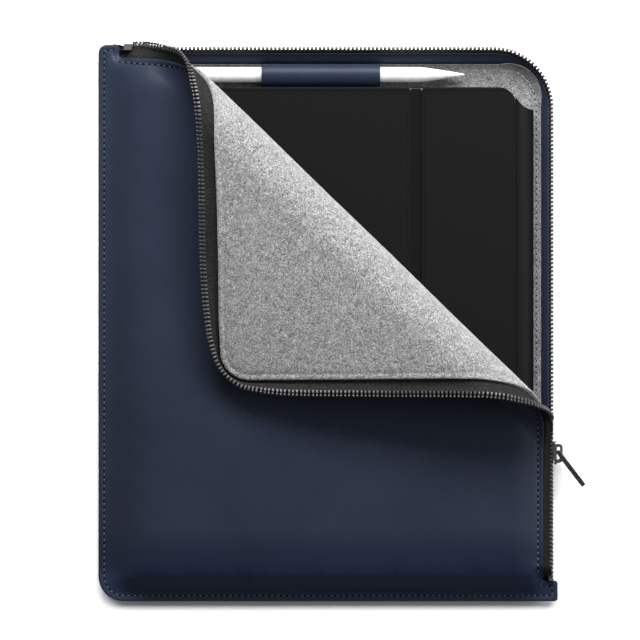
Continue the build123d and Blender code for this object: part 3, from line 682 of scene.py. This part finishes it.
def tape_point(E, Nn, at, s, h, up=1.0):
    """s outward from the free edge along the tape, h above its middle."""
    tilt = np.radians(np.interp(at, TAPE[:, 0], TAPE[:, 1]))
    sp = np.maximum(s, 0)
    # the tape leaves the leather in a small curve
    lead = 2.2
    k = np.where(sp < lead, sp * sp / (2 * lead), sp - lead / 2)
    out = np.minimum(s, 0) + (sp - k) + k * np.cos(tilt)
    down = k * np.sin(tilt)
    x, y = E[..., 0] + Nn[..., 0] * out, E[..., 1] + Nn[..., 1] * out
    c = np.maximum(0.0, -np.minimum(s, 0.0))
    dr = drop(E[..., 0] + Nn[..., 0] * np.minimum(s, 0), E[..., 1] + Nn[..., 1] * np.minimum(s, 0), c)
    base = 0.40 - dr
    hh = base - down + h * np.cos(tilt)
    x = x + Nn[..., 0] * h * np.sin(tilt)
    y = y + Nn[..., 1] * h * np.sin(tilt)
    out = fold(x, y, hh)
    w = np.clip(sp / 8.7, 0, 1.25) ** 2
    out[..., 0] += w * np.interp(at, TAPE[:, 0], TAPE[:, 2])
    out[..., 1] += w * np.interp(at, TAPE[:, 0], TAPE[:, 3])
    out[..., 2] += up * w * np.interp(at, LIFT[:, 0], LIFT[:, 1])
    # both ends are tucked in between the leathers' sewn margins
    lo = 9.7 + 0.45 * sp + h
    end = smooth(1 - at / 9.0)
    out[..., 2] = np.where(at < 9.0, np.maximum(out[..., 2], lo) * end + out[..., 2] * (1 - end), out[..., 2])
    out[..., 2] = np.where(E[..., 0] < 0, np.maximum(out[..., 2], 9.0 + h + 0.25 * sp * smooth((E[..., 0] + 122.0) / 5.0)), out[..., 2])
    return out, tu(x, y)[1]


def region_of(u, e_y):
    nm = next(r[0] for r in REGIONS if r[1] <= u < r[2])
    return ("lower_top" if e_y > 60 else "lower_side") if nm == "lower" else nm


def tape_pieces():
    E, Nn, at = edge_line(1.0)
    S = np.array([-4.0, -2.0, -0.8, 0.0, 0.7, 1.4, 2.2, 3.2, 3.9, 4.15, 4.4, 5.2, 6.1, 6.45, 6.8, 7.2, 7.45, 7.6])
    half = np.array([0.30, 0.30, 0.30, 0.30, 0.30, 0.30, 0.30, 0.30, 0.30, 0.20, 0.30, 0.30, 0.32, 0.62, 0.74, 0.66, 0.40, 0.15])
    K, J = len(E), len(S)
    EE, NN, AA = np.repeat(E[:, None], J, 1), np.repeat(Nn[:, None], J, 1), np.repeat(at[:, None], J, 1)
    SS = np.repeat(S[None], K, 0)
    thick = half[None].repeat(K, 0)
    top, _ = tape_point(EE, NN, AA, SS, thick)
    bot, _ = tape_point(EE, NN, AA, SS, -thick)
    _, um = tape_point(EE, NN, AA, SS, thick * 0)
    top, bot = top.reshape(-1, 3), bot.reshape(-1, 3)
    cells = {}
    for k in range(K - 1):
        for j in range(J - 1):
            c = (k * J + j, (k + 1) * J + j, (k + 1) * J + j + 1, k * J + j + 1)
            cells.setdefault(region_of(um[k:k + 2, j:j + 2].mean(), E[k][1]), []).append(c)
    return {nm: closed_sheet(top, bot, c) for nm, c in cells.items() if c}


tape_objs, TAPE_WIDE = {}, 11.6
for nm, (v, f) in tape_pieces().items():
    o = new_object("zip_tape_" + nm, v, oriented(v, f), M_TAPE)
    attach(o, "lower" if nm.startswith("lower") else nm)
    tape_objs[nm] = o
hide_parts("zipper_tape_front")
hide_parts("zipper_tape_flap")


def tooth_template(length, width, height, widths=(0.70, 0.94, 1.00, 0.96, 0.78, 0.50, 0.50, 0.84, 0.92, 0.72, 0.36)):
    """A cast zip tooth along +x: foot clamped on the tape's bead, a waist, and a rounded head."""
    xs = [-0.50, -0.46, -0.30, -0.05, 0.02, 0.08, 0.16, 0.24, 0.38, 0.47, 0.50]
    ws = widths
    hs = [0.74, 0.96, 1.00, 0.98, 0.80, 0.52, 0.48, 0.74, 0.76, 0.60, 0.30]
    ring = [(1, 0.5), (0.7, 1), (-0.7, 1), (-1, 0.5), (-1, -0.5), (-0.7, -1), (0.7, -1), (1, -0.5)]
    v = []
    for x, w, h in zip(xs, ws, hs):
        for a, b in ring:
            v.append((x * length, a * w * width / 2, b * h * height / 2))
    f = []
    n = 8
    for i in range(len(xs) - 1):
        for j in range(n):
            f.append((i * n + j, i * n + (j + 1) % n, (i + 1) * n + (j + 1) % n, (i + 1) * n + j))
    f.append(tuple(range(n - 1, -1, -1)))
    f.append(tuple((len(xs) - 1) * n + j for j in range(n)))
    return np.array(v), oriented(v, f)


def place_many(template, frames):
    """frames: list of (origin, ex, ey, ez) in mm."""
    tv, tf = template
    vs, fs = [], []
    for k, (o, ex, ey, ez) in enumerate(frames):
        vs.append(np.asarray(o) + tv[:, :1] * ex + tv[:, 1:2] * ey + tv[:, 2:3] * ez)
        b = k * len(tv)
        fs += [tuple(b + i for i in f) for f in tf]
    return np.vstack(vs), fs


def unit(v):
    return v / np.maximum(np.linalg.norm(v), 1e-9)


PITCH = 2.36


def tidy_side(v):
    """Draws the chain's outermost millimetre in along the straight side, so its edge runs true."""
    v = np.array(v, float)
    over = np.maximum(v[:, 0] - 131.7, 0.0) * np.clip((20.0 - v[:, 1]) / 20.0, 0.0, 1.0)
    v[:, 0] -= over * 0.62
    return v


def front_teeth():
    E, Nn, at = edge_line(0.25)
    mid = 8.7
    P, U = tape_point(E, Nn, at, np.full(len(E), mid), np.zeros(len(E)))
    low, _ = tape_point(E, Nn, at, np.full(len(E), mid), np.zeros(len(E)), up=0.0)
    Q, _ = tape_point(E, Nn, at, np.full(len(E), mid - 1.5), np.zeros(len(E)), up=0.0)
    Q = Q + P - low
    s = np.concatenate([[0], np.cumsum(np.linalg.norm(np.diff(low, axis=0), axis=1))])
    groups = {}
    d = 1.4
    while d < s[-1] - 12.2:
        i = int(np.clip(np.searchsorted(s, d), 4, len(E) - 5))
        ex = unit(P[i] - Q[i])
        ez = unit(np.cross(ex, P[i + 4] - P[i - 4]))
        ey = np.cross(ez, ex)
        groups.setdefault(region_of(U[i], E[i][1]), []).append((P[i], ex, ey, ez))
        d += PITCH
    return groups, P


groups, FRONT_LINE = front_teeth()
TOOTH = tooth_template(3.8, 1.42, 2.3)
for nm, fr in groups.items():
    v, f = place_many(TOOTH, fr)
    v = tidy_side(v)
    o = new_object("zip_teeth_front_" + nm, v, f, M_TEETH, 50)
    attach(o, "lower" if nm.startswith("lower") else nm)
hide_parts("zipper_teeth_front")
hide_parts("zipper_teeth_flap")


# ------------------------------------------------------------------ the back tray: leather bowl, felt, rim tape and teeth
def rounded(x0, x1, y0, y1, z, bl, br, tr, tl, n=12, m=24):
    """A closed loop of a set number of points, so that loops match."""
    p = []
    cs = [(x0 + bl, y0 + bl, bl, 180), (x1 - br, y0 + br, br, 270), (x1 - tr, y1 - tr, tr, 0), (x0 + tl, y1 - tl, tl, 90)]
    for i, (cx, cy, r, a) in enumerate(cs):
        a_pts = arc(cx, cy, r, a, a + 90, n)
        p += a_pts
        nx = cs[(i + 1) % 4]
        b = arc(nx[0], nx[1], nx[2], nx[3], nx[3] + 90, n)[0]
        for k in range(1, m):
            s = k / m
            p.append((a_pts[-1][0] * (1 - s) + b[0] * s, a_pts[-1][1] * (1 - s) + b[1] * s))
    return np.array([(x, y, z) for x, y in p])


def loft(loops, caps=True):
    n = len(loops[0])
    v = np.vstack(loops)
    f = []
    for i in range(len(loops) - 1):
        for j in range(n):
            k = (j + 1) % n
            f.append((i * n + j, i * n + k, (i + 1) * n + k, (i + 1) * n + j))
    if caps:
        f.append(tuple(range(n - 1, -1, -1)))
        f.append(tuple((len(loops) - 1) * n + j for j in range(n)))
    return v, oriented(v, f)


def tray_loop(g, z, out=0.0):
    """Loop between the tray's floor (g = 0) and its rim (g = 1), moved outwards by out."""
    lo = (-118.0, 123.5, -150.5, 147.5, 10, 8, 17, 4)
    hi = (-124.0, 130.1, -155.0, 156.9, 10, 3, 32, 4)
    a = [l + (h - l) * g for l, h in zip(lo, hi)]
    return rounded(a[0] - out, a[1] + out, a[2] - out, a[3] + out, z, *[max(0.3, r + out) for r in a[4:]])


tray_loops = [
    tray_loop(0.0, 0.0, -1.2), tray_loop(0.0, 0.15, -0.45), tray_loop(0.02, 0.55, 0.0), tray_loop(0.25, 2.2, 0.1),
    tray_loop(0.52, 4.3, 0.15), tray_loop(0.78, 6.6, 0.1), tray_loop(0.97, 8.6, 0.02), tray_loop(1.0, 9.1, -0.05), tray_loop(1.0, 9.3, -0.35),
    tray_loop(1.0, 9.32, -0.75), tray_loop(0.98, 9.12, -1.3), tray_loop(0.80, 8.35, -1.4), tray_loop(0.60, 7.35, -1.2), tray_loop(0.52, 6.6, -1.2), tray_loop(0.5, 5.3, -1.3),
    tray_loop(0.3, 3.4, -1.3), tray_loop(0.0, 1.62, -1.0),
]
v, f = loft(tray_loops)
tray = new_object("back_leather_tray", v, f, M_LEATHER)
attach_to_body(tray, "folio")
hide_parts("back_cover_leather")

# the sewn margin of the back leather, under the front's
def margin_outline():
    p = arc(X_LEFT + 14.5, Y_BOT + 14.5, 14.5, 180, 270, 12)
    p += [(133.6, Y_BOT)] + arc(133.6, Y_BOT + 1.5, 1.5, 290, 360, 4) + arc(133.9, -150.8, 1.2, 0, 90, 4)
    p += [(118.0, -149.6), (-112.0, -149.6)] + arc(-112.0 , -141.6, 8.0, 265, 185, 6)
    p += [(-120.0, 150.0), (-120.0, 158.7)] + arc(-121.4, 160.1, 1.4, 0, 90, 4)
    p += arc(X_LEFT + 4.6, 161.5 - 4.6, 4.6, 90, 180, 7)
    return resample(np.array(p), 1.6, closed=True)


def flat_plate(name, outline, z1, z0, mat, bevel=0.5):
    ring1, ok1 = offset_in(outline, 0.2)
    ring2, ok2 = offset_in(outline, 0.55)
    pts = np.vstack([outline, ring1[ok1], ring2[ok2]])
    p2, tris = triangulate(pts, list(range(len(outline))))
    d = edge_distance(p2, outline)
    e = np.clip(bevel - d, 0, bevel)
    rd = bevel - np.sqrt(np.maximum(bevel ** 2 - e ** 2, 0))
    top = np.column_stack([p2, z1 - rd * 0.3])
    bot = np.column_stack([p2, z0 + rd * 0.9])
    v, f = closed_sheet(top, bot, tris)
    return new_object(name, v, oriented(v, f), mat)


margin = flat_plate("back_leather_margin", margin_outline(), 8.98, 7.4, M_LEATHER)
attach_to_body(margin, "folio")

# felt lining of the tray: floor, a soft cove up to its sewn edge
def felt_loop(g, z, out=0.0):
    lo = (-113.5, 119.6, -146.0, 144.4, 9, 6, 15.5, 4)
    hi = (-118.6, 125.75, -150.6, 150.5, 9, 6, 24.5, 4)
    a = [l + (h - l) * g for l, h in zip(lo, hi)]
    return rounded(a[0] - out, a[1] + out, a[2] - out, a[3] + out, z, *[max(0.3, r + out) for r in a[4:]])


felt_loops = [felt_loop(0.0, 1.66), felt_loop(0.25, 1.68), felt_loop(0.55, 2.9), felt_loop(0.80, 4.3), felt_loop(0.96, 5.15), felt_loop(1.0, 5.45),
              felt_loop(1.0, 5.85, -0.25), felt_loop(0.97, 6.0, -0.45), felt_loop(0.86, 5.75), felt_loop(0.70, 5.25), felt_loop(0.58, 4.95), felt_loop(0.50, 4.62), felt_loop(0.42, 4.72),
              felt_loop(0.25, 4.35), felt_loop(0.0, 4.05)]
v, f = loft(felt_loops)
CLIMB = [0, 0, 0.2, 0.7, 0.97, 1.0, 1.0, 1.0, 0.82, 0.5, 0.28, 0.12, 0.12, 0.04, 0.0]
n_loop = len(felt_loops[0])
for k, w in enumerate(CLIMB):
    q = v[k * n_loop:(k + 1) * n_loop]
    dx, dy = q[:, 0] - 101.25, q[:, 1] - 126.0
    th = np.arctan2(dy, dx)
    m = np.where((dx > 0) & (dy > 0), np.sin(2 * th), 0.0) * w
    q[:, 0] += 2.7 * m * np.cos(th)
    q[:, 1] += 2.7 * m * np.sin(th)
    q[:, 2] += 3.3 * m
felt_floor = new_object("back_felt_tray", v, f, M_FELT_RIM_SHADOW, 60)
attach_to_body(felt_floor, "folio")
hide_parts("back_lining_felt")


def rim_line(off, step, start=-111.0, stop=-148.6):
    """Stations along the rim from the zip's start to its end: position and outward normal."""
    r = 32.0 + off
    xc, yc = 130.1 - 32.0, 156.9 - 32.0
    l1, l2, l3 = xc - start, r * math.pi / 2, yc - stop
    n = int((l1 + l2 + l3) / step)
    out = []
    for i in range(n + 1):
        s = i * step
        if s < l1:
            out.append((start + s, 156.9 + off, 0.0, 1.0))
        elif s < l1 + l2:
            g = math.pi / 2 - (s - l1) / r
            out.append((xc + r * math.cos(g), yc + r * math.sin(g), math.cos(g), math.sin(g)))
        else:
            out.append((130.1 + off, yc - (s - l1 - l2), 1.0, 0.0))
    return np.array(out)


def band(name, profile, stations, mat, smooth_deg=40, top_shift=0.0):
    """Sweeps a closed (outward, z) profile along stations."""
    P = len(profile)
    v = []
    for x, y, nx, ny in stations:
        for o, z in profile:
            o = o + top_shift * max(ny, 0.0) * min(max((o + 0.5) / 1.2, 0.0), 1.0)
            v.append((x + nx * o, y + ny * o, z))
    f = []
    for i in range(len(stations) - 1):
        for j in range(P):
            k = (j + 1) % P
            f.append((i * P + j, i * P + k, (i + 1) * P + k, (i + 1) * P + j))
    f.append(tuple(range(P - 1, -1, -1)))
    f.append(tuple((len(stations) - 1) * P + j for j in range(P)))
    return new_object(name, v, oriented(v, f), mat, smooth_deg)


st = rim_line(0.0, 1.5, -119.0, -149.4)
rear_tape = band("zip_tape_rear", [(-0.62, 8.9), (-0.3, 8.2), (0.45, 8.8), (0.75, 9.9), (1.0, 11.0), (1.15, 11.7), (0.85, 12.0), (0.5, 11.8), (0.35, 11.0), (0.15, 10.0), (-0.25, 9.45)], st, M_TAPE, top_shift=0.55)
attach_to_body(rear_tape, "folio")
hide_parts("zipper_tape_rear")

# painted highlight: a lighter strip on the cut edge of the rim's leather, where the edge catches the key light
edge = band("rim_edge_highlight", [(-0.72, 9.30), (-0.55, 9.46), (-0.25, 9.46), (-0.08, 9.28), (-0.08, 9.0), (-0.72, 9.0)], rim_line(0.0, 1.5, -116.0, -100.0), M_EDGE_HIGHLIGHT, top_shift=0.0)
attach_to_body(edge, "folio")

REAR_TOOTH = tooth_template(3.0, 1.62, 2.3, (0.70, 0.94, 1.00, 0.98, 0.92, 0.84, 0.84, 0.94, 1.00, 0.92, 0.66))
frames = []
for x, y, nx, ny in rim_line(1.15, PITCH, -109.0, -147.5):
    lean = 0.42 + 0.16 * max(ny, 0.0)
    ex = unit(np.array([lean * nx, lean * ny, 0.87]))
    ey = np.array([-ny, nx, 0.0])
    ez = np.cross(ex, ey)
    frames.append((np.array([x, y + 0.75 * max(ny, 0.0), 12.45]), ex, ey, ez))
v, f = place_many(REAR_TOOTH, frames)
rear_teeth = new_object("zip_teeth_rear", v, f, M_TEETH_REAR, 50)
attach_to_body(rear_teeth, "folio")
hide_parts("zipper_teeth_rear")


# ------------------------------------------------------------------ stitching
def stitch_template(length, radius, rise):
    n, m = 7, 6
    v = []
    for i in range(n):
        s = i / (n - 1)
        x = (s - 0.5) * length
        z = rise * (1 - (2 * s - 1) ** 2) - 0.5 * rise
        r = radius * (0.45 + 0.55 * math.sin(math.pi * min(max(s, 0.04), 0.96)) ** 0.5)
        for j in range(m):
            g = 2 * math.pi * j / m
            v.append((x, r * math.cos(g), z + r * 0.8 * math.sin(g)))
    f = []
    for i in range(n - 1):
        for j in range(m):
            k = (j + 1) % m
            f.append((i * m + j, i * m + k, (i + 1) * m + k, (i + 1) * m + j))
    f.append(tuple(range(m - 1, -1, -1)))
    f.append(tuple((n - 1) * m + j for j in range(m)))
    return np.array(v), oriented(v, f)


# a small near-black body sunk at each needle hole, as painted shade
def hole_template(rx, ry, rz):
    v = [(0, 0, rz)]
    for q, zz in ((0.55, 0.72), (1.0, 0.0)):
        for j in range(8):
            g = 2 * math.pi * j / 8
            v.append((rx * q * math.cos(g), ry * q * math.sin(g), rz * zz))
    v.append((0, 0, -rz))
    f = []
    for j in range(8):
        k = (j + 1) % 8
        f.append((0, 1 + j, 1 + k))
        f.append((1 + j, 9 + j, 9 + k, 1 + k))
        f.append((9 + j, 17, 9 + k))
    return np.array(v), oriented(v, f)


def cover_surface(x, y, side):
    """A point on the cover's leather face (side 1) or felt face (side -1)."""
    x, y = np.atleast_1d(x), np.atleast_1d(y)
    c = free_distance(x, y)
    d = edge_distance(np.stack([x, y], -1), OUTLINE)
    dr = drop(x, y, c)
    if side > 0:
        h = L_OUT - dr - 0.32 * np.exp(-((d - 3.3) / 0.75) ** 2)
    else:
        h = F_OUT - dr + 0.42 * np.exp(-((d - 3.75) / 0.8) ** 2)
    return fold(x, y, h)


def stitch_run(line, step, side, sink=0.0):
    """Frames for stitches and for the needle holes between them along a flat line."""
    d = np.hypot(*np.diff(line, axis=0).T)
    s = np.concatenate([[0], np.cumsum(d)])
    n = int(s[-1] / step)
    at = (np.arange(n) + 0.5) * s[-1] / n
    stitches, holes = [], []
    for kind, q in (("s", at), ("h", at + 0.5 * s[-1] / n)):
        q = q[q < s[-1]]
        x, y = np.interp(q, s, line[:, 0]), np.interp(q, s, line[:, 1])
        e = 0.35
        xa, ya = np.interp(q - e, s, line[:, 0]), np.interp(q - e, s, line[:, 1])
        xb, yb = np.interp(q + e, s, line[:, 0]), np.interp(q + e, s, line[:, 1])
        tx, ty = xb - xa, yb - ya
        ln = np.maximum(np.hypot(tx, ty), 1e-6)
        px, py = -ty / ln * 0.35, tx / ln * 0.35
        P, PA, PB = cover_surface(x, y, side), cover_surface(xa, ya, side), cover_surface(xb, yb, side)
        QA, QB = cover_surface(x - px, y - py, side), cover_surface(x + px, y + py, side)
        _, u = tu(x, y)
        for i in range(len(x)):
            ex = unit(PB[i] - PA[i])
            ey0 = unit(QB[i] - QA[i])
            ez = unit(np.cross(ex, ey0)) * side
            ey = np.cross(ez, ex)
            nm = next(r[0] for r in REGIONS if r[1] <= u[i] < r[2])
            (stitches if kind == "s" else holes).append((nm, (P[i] + ez * sink, ex, ey, ez)))
    return stitches, holes


def inset_path(d, sel):
    q, ok = offset_in(OUTLINE, d)
    keep = ok & sel(q)
    return q[keep]


def order_path(p, start):
    """Sorts points into one run, each next to the last."""
    left = list(range(len(p)))
    cur = min(left, key=lambda i: math.hypot(p[i][0] - start[0], p[i][1] - start[1]))
    out = [cur]
    left.remove(cur)
    while left:
        nx = min(left, key=lambda i: math.hypot(p[i][0] - p[cur][0], p[i][1] - p[cur][1]))
        if math.hypot(p[nx][0] - p[cur][0], p[nx][1] - p[cur][1]) > 9:
            break
        out.append(nx)
        left.remove(nx)
        cur = nx
    return p[out]


runs = []
seam_sel = lambda q: (q[:, 0] < -117.5) | (q[:, 1] < -147)
edge_sel = lambda q: ((q[:, 0] > -122.0) & (q[:, 1] > -150)) & ((q[:, 0] > 114) | (q[:, 1] > 125))
seam_path = order_path(inset_path(3.3, seam_sel), (-119, 158))
edge_path = order_path(inset_path(3.1, edge_sel), (124, -146))
all_st, all_ho = [], []
for path in (seam_path, edge_path):
    a, b = stitch_run(path, 3.45, 1, 0.16)
    all_st += a
    all_ho += b
felt_path = edge_path[(edge_path[:, 0] > -112) & (edge_path[:, 1] > -143)]
fa, fb = stitch_run(order_path(offset_in(OUTLINE, 3.75)[0][offset_in(OUTLINE, 3.75)[1] & edge_sel(OUTLINE)], (124, -142)), 3.45, -1, 0.12)

ST, HO = stitch_template(1.75, 0.36, 0.34), hole_template(0.92, 0.50, 0.2)
STF, HOF = stitch_template(2.6, 0.36, 0.3), hole_template(0.55, 0.45, 0.14)


def scatter(name, tmpl, items, mat):
    by = {}
    for nm, fr in items:
        by.setdefault(nm, []).append(fr)
    made = {}
    for nm, fr in by.items():
        v, f = place_many(tmpl, fr)
        o = new_object(f"{name}_{nm}", v, f, mat, 60)
        attach(o, nm)
        made[nm] = o
    return made


s1 = scatter("stitches", ST, all_st, M_THREAD)
scatter("needle_holes", HO, all_ho, M_HOLE_SHADE)
scatter("felt_stitches", STF, fa, M_THREAD_FELT)
scatter("felt_holes", HOF, fb, M_HOLE_SHADE)
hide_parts("seam_stitching")

# stitches along the felt strip of the tray
tray_stitch, tray_hole = [], []
for i, (x, y, nx, ny) in enumerate(rim_line(-7.25, 3.45, -80.0, -60.0)):
    ex, ez = np.array([ny, -nx, 0.0]), unit(np.array([-0.25 * nx, -0.25 * ny, 1.0]))
    ey = np.cross(ez, ex)
    tray_stitch.append((np.array([x, y, 4.86]), ex, ey, ez))
    x2, y2 = x + ex[0] * 1.72, y + ex[1] * 1.72
    tray_hole.append((np.array([x2, y2, 4.86]), ex, ey, ez))
v, f = place_many(STF, tray_stitch)
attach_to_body(new_object("tray_stitches", v, f, M_THREAD_FELT, 60), "folio")
v, f = place_many(HOF, tray_hole)
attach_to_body(new_object("tray_holes", v, f, M_HOLE_SHADE, 60), "folio")


# ------------------------------------------------------------------ stylus and loop
def lathe(profile, x0, yc, zc, seg=64):
    """Turns (x, r) about a line along +X."""
    v, f = [], []
    for x, r in profile:
        for j in range(seg):
            g = 2 * math.pi * j / seg
            v.append((x0 + x, yc + r * math.cos(g), zc + r * math.sin(g)))
    for i in range(len(profile) - 1):
        for j in range(seg):
            k = (j + 1) % seg
            f.append((i * seg + j, i * seg + k, (i + 1) * seg + k, (i + 1) * seg + j))
    f.append(tuple(range(seg - 1, -1, -1)))
    f.append(tuple((len(profile) - 1) * seg + j for j in range(seg)))
    return np.array(v), oriented(v, f)


SY, SZ, SX = 144.2, 8.9, -85.0
body = [(0, 3.4), (0.12, 3.85), (0.5, 4.25), (1.1, 4.44), (2.0, 4.45), (40, 4.45), (80, 4.45), (120, 4.45), (138.0, 4.45), (140.2, 4.42), (142.0, 4.28),
        (146, 3.72), (151, 2.98), (154.2, 2.48), (154.9, 2.36), (155.05, 2.22), (155.3, 2.16)]
v, f = lathe(body, SX, SY, SZ)
barrel = new_object("stylus_body", v, f, M_WHITE, 30)
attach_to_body(barrel, "stylus")
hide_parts("stylus_barrel")
nib = [(155.45, 2.0), (155.5, 2.26), (156.2, 2.18), (159.5, 1.62), (163.0, 1.02), (164.6, 0.78), (165.4, 0.58), (165.85, 0.34), (166.0, 0.08)]
v, f = lathe(nib, SX, SY, SZ)
tip = new_object("stylus_nib", v, f, M_WHITE, 30)
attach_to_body(tip, "stylus")
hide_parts("stylus_tip")
v, f = lathe([(5.2, 4.40), (5.25, 4.475), (5.65, 4.475), (5.7, 4.40)], SX, SY, SZ)
ring = new_object("stylus_cap_line", v, f, M_RING, 30)
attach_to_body(ring, "stylus")


def loop_mesh():
    """Leather wrapped round the stylus, its two ends sewn flat to the felt on the case's side."""
    X = np.linspace(-36.8, 32.0, 36)
    prof = []
    n = 30
    a0, a1 = math.radians(214), math.radians(-62)
    for k in range(n):
        g = a0 + (a1 - a0) * k / (n - 1)
        prof.append((math.cos(g), math.sin(g)))
    verts, faces = [], []
    for x in X:
        e = min(x - X[0], X[-1] - x)
        slack = 0.16 * (1 - math.exp(-e / 3.0)) + 0.05 * math.sin(x * 0.35)
        ring_out, ring_in = [], []
        for c, s in prof:
            ro, ri = 5.95 + slack * max(s, 0), 4.62
            ring_out.append((x, SY + c * ro, SZ + s * ro * 0.985))
            ring_in.append((x, SY + c * ri, SZ + s * ri))
        # tails lying on the felt
        low = 4.2
        ring_out[0] = (x, SY - 5.2, 5.3)
        ring_out = [(x, SY - 7.0, 5.15)] + ring_out
        ring_in = [(x, SY - 7.0, low)] + ring_in
        ring_in[1] = (x, SY - 4.2, low + 0.2)
        verts += ring_out + ring_in[::-1]
    m = 2 * (n + 1)
    for i in range(len(X) - 1):
        for j in range(m):
            k = (j + 1) % m
            faces.append((i * m + j, i * m + k, (i + 1) * m + k, (i + 1) * m + j))
    faces.append(tuple(range(m - 1, -1, -1)))
    faces.append(tuple((len(X) - 1) * m + j for j in range(m)))
    return np.array(verts), oriented(verts, faces)


v, f = loop_mesh()
loop = new_object("stylus_loop", v, f, M_LEATHER, 45)
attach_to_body(loop, "folio")
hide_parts("pencil_loop")

# ------------------------------------------------------------------ carried-over CAD nodes
CARRY = {
    "case_back_panel_wide": (M_CASE, 0.0), "case_back_panel_narrow": (M_CASE, 0.0), "case_back_crease": (M_CREASE, 0.0), "case_spine_cover": (M_CASE, 0.3),
    "case_hinge_barrel": (M_METAL_DARK, 0.0), "case_hinge_pin": (M_METAL_DARK, 0.0), "keyboard_base_shell": (M_CASE_EDGE, 0.0), "keyboard_keycaps": (M_CASE_EDGE, 0.0),
    "keyboard_trackpad": (M_CASE_EDGE, 0.0), "tablet_housing": (M_TABLET, 0.0), "tablet_display_glass": (M_GLASS, 0.0),
    "slider_body": (M_SLIDER, 0.25), "slider_bridge": (M_SLIDER, 0.35), "zip_pull": (M_PULL, 0.3), "zipper_start_stop": (M_TEETH, 0.5), "zipper_end_stop": (M_TEETH, 0.25),
}
for n, (mat, bev) in CARRY.items():
    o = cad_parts[n]
    o.data.materials.clear()
    o.data.materials.append(mat)
    if bev:
        w = o.modifiers.new("weld", "WELD")
        w.merge_threshold = 1e-6
        if n in ("zip_pull", "slider_bridge"):
            d = o.modifiers.new("fuller", "DISPLACE")
            d.strength, d.mid_level = (0.75 if n == "slider_bridge" else 0.55) * MM, 0.0
        b = o.modifiers.new("soft_edges", "BEVEL")
        b.width, b.segments, b.limit_method, b.angle_limit = bev * MM, 2, "ANGLE", math.radians(40)


# ------------------------------------------------------------------ stage, light, camera
def plane(name, size, z, mat):
    s = size / 2
    me = bpy.data.meshes.new(name)
    me.from_pydata([(-s, -s, z), (s, -s, z), (s, s, z), (-s, s, z)], [], [(0, 1, 2, 3)])
    o = bpy.data.objects.new(name, me)
    bpy.context.scene.collection.objects.link(o)
    me.materials.append(mat)
    return o


mf, nt, b = material("floor_white")
b.inputs["Roughness"].default_value = 0.9
b.inputs["Specular IOR Level"].default_value = 0.1
# white to look at, but it throws less light back up onto the sides than a white floor would
seen = node(nt, "ShaderNodeLightPath")
tone = node(nt, "ShaderNodeMix", data_type="RGBA")
tone.inputs["A"].default_value = (0.10, 0.10, 0.10, 1)
tone.inputs["B"].default_value = (0.50, 0.50, 0.50, 1)
nt.links.new(seen.outputs["Is Camera Ray"], tone.inputs["Factor"])
nt.links.new(tone.outputs["Result"], b.inputs["Base Color"])
floor = plane("floor", 8.0, -0.0002, mf)

w = bpy.data.worlds.new("studio")
bpy.context.scene.world = w
w.use_nodes = True
wn = w.node_tree
bg = wn.nodes["Background"]
tc = wn.nodes.new("ShaderNodeTexCoord")
sep = wn.nodes.new("ShaderNodeSeparateXYZ")
wn.links.new(tc.outputs["Generated"], sep.inputs["Vector"])


def world_ramp(src, stops):
    mr = wn.nodes.new("ShaderNodeMapRange")
    mr.inputs["From Min"].default_value, mr.inputs["From Max"].default_value = -1.0, 1.0
    wn.links.new(src, mr.inputs["Value"])
    rp = wn.nodes.new("ShaderNodeValToRGB")
    rp.color_ramp.elements[0].position, rp.color_ramp.elements[0].color = stops[0][0], (stops[0][1],) * 3 + (1,)
    rp.color_ramp.elements[1].position, rp.color_ramp.elements[1].color = stops[1][0], (stops[1][1],) * 3 + (1,)
    for q, c in stops[2:]:
        rp.color_ramp.elements.new(q).color = (c, c, c, 1)
    wn.links.new(mr.outputs["Result"], rp.inputs["Fac"])
    return rp.outputs["Color"]


along = world_ramp(sep.outputs["Y"], [(0.0, 0.22), (1.0, 1.0), (0.5, 0.52)])
above = world_ramp(sep.outputs["Z"], [(0.5, 1.0), (1.0, 0.28), (0.75, 0.85)])
mul = wn.nodes.new("ShaderNodeMix")
mul.data_type, mul.blend_type = "RGBA", "MULTIPLY"
mul.inputs["Factor"].default_value = 1.0
wn.links.new(along, mul.inputs["A"])
wn.links.new(above, mul.inputs["B"])
wn.links.new(mul.outputs["Result"], bg.inputs["Color"])
bg.inputs["Strength"].default_value = 1.25


def area(name, loc, target, size, power, size_y=None):
    l = bpy.data.lights.new(name, "AREA")
    l.energy = power
    l.size = size
    if size_y:
        l.shape = "RECTANGLE"
        l.size_y = size_y
    o = bpy.data.objects.new(name, l)
    bpy.context.scene.collection.objects.link(o)
    o.location = loc
    o.rotation_mode = "QUATERNION"
    o.rotation_quaternion = (Vector(target) - Vector(loc)).to_track_quat("-Z", "Y")
    return o


area("key_top", (0.10, 1.15, 0.92), (0, 0.0, 0), 1.3, 62, 0.5)
area("fill_left", (-1.2, 0.3, 0.9), (-0.05, 0, 0), 0.7, 1.5, 0.7)
area("fill_right", (1.1, 0.1, 0.7), (0.05, 0, 0), 0.6, 10, 0.6)

# a broad overhead light that is kept to the floor, so that the floor stays white close to the object
wash = area("floor_wash", (0.0, 0.48, 1.47), (0.0, 0.0, 0.0), 1.7, 56, 0.5)
only_floor = bpy.data.collections.new("lit_by_wash")
only_floor.objects.link(floor)
wash.light_linking.receiver_collection = only_floor

cam = bpy.data.cameras.new("camera")
cam.sensor_width = 36.0
DIST = 5.0
cam.lens = 36.0 * DIST / 0.3712
co = bpy.data.objects.new("camera", cam)
bpy.context.scene.collection.objects.link(co)
co.location = (-0.0029, 0.00174, DIST + 0.014)
co.rotation_euler = (0, 0, 0)
cam.clip_start, cam.clip_end = 0.05, 50
bpy.context.scene.camera = co
bpy.context.scene.view_settings.view_transform = "Standard"
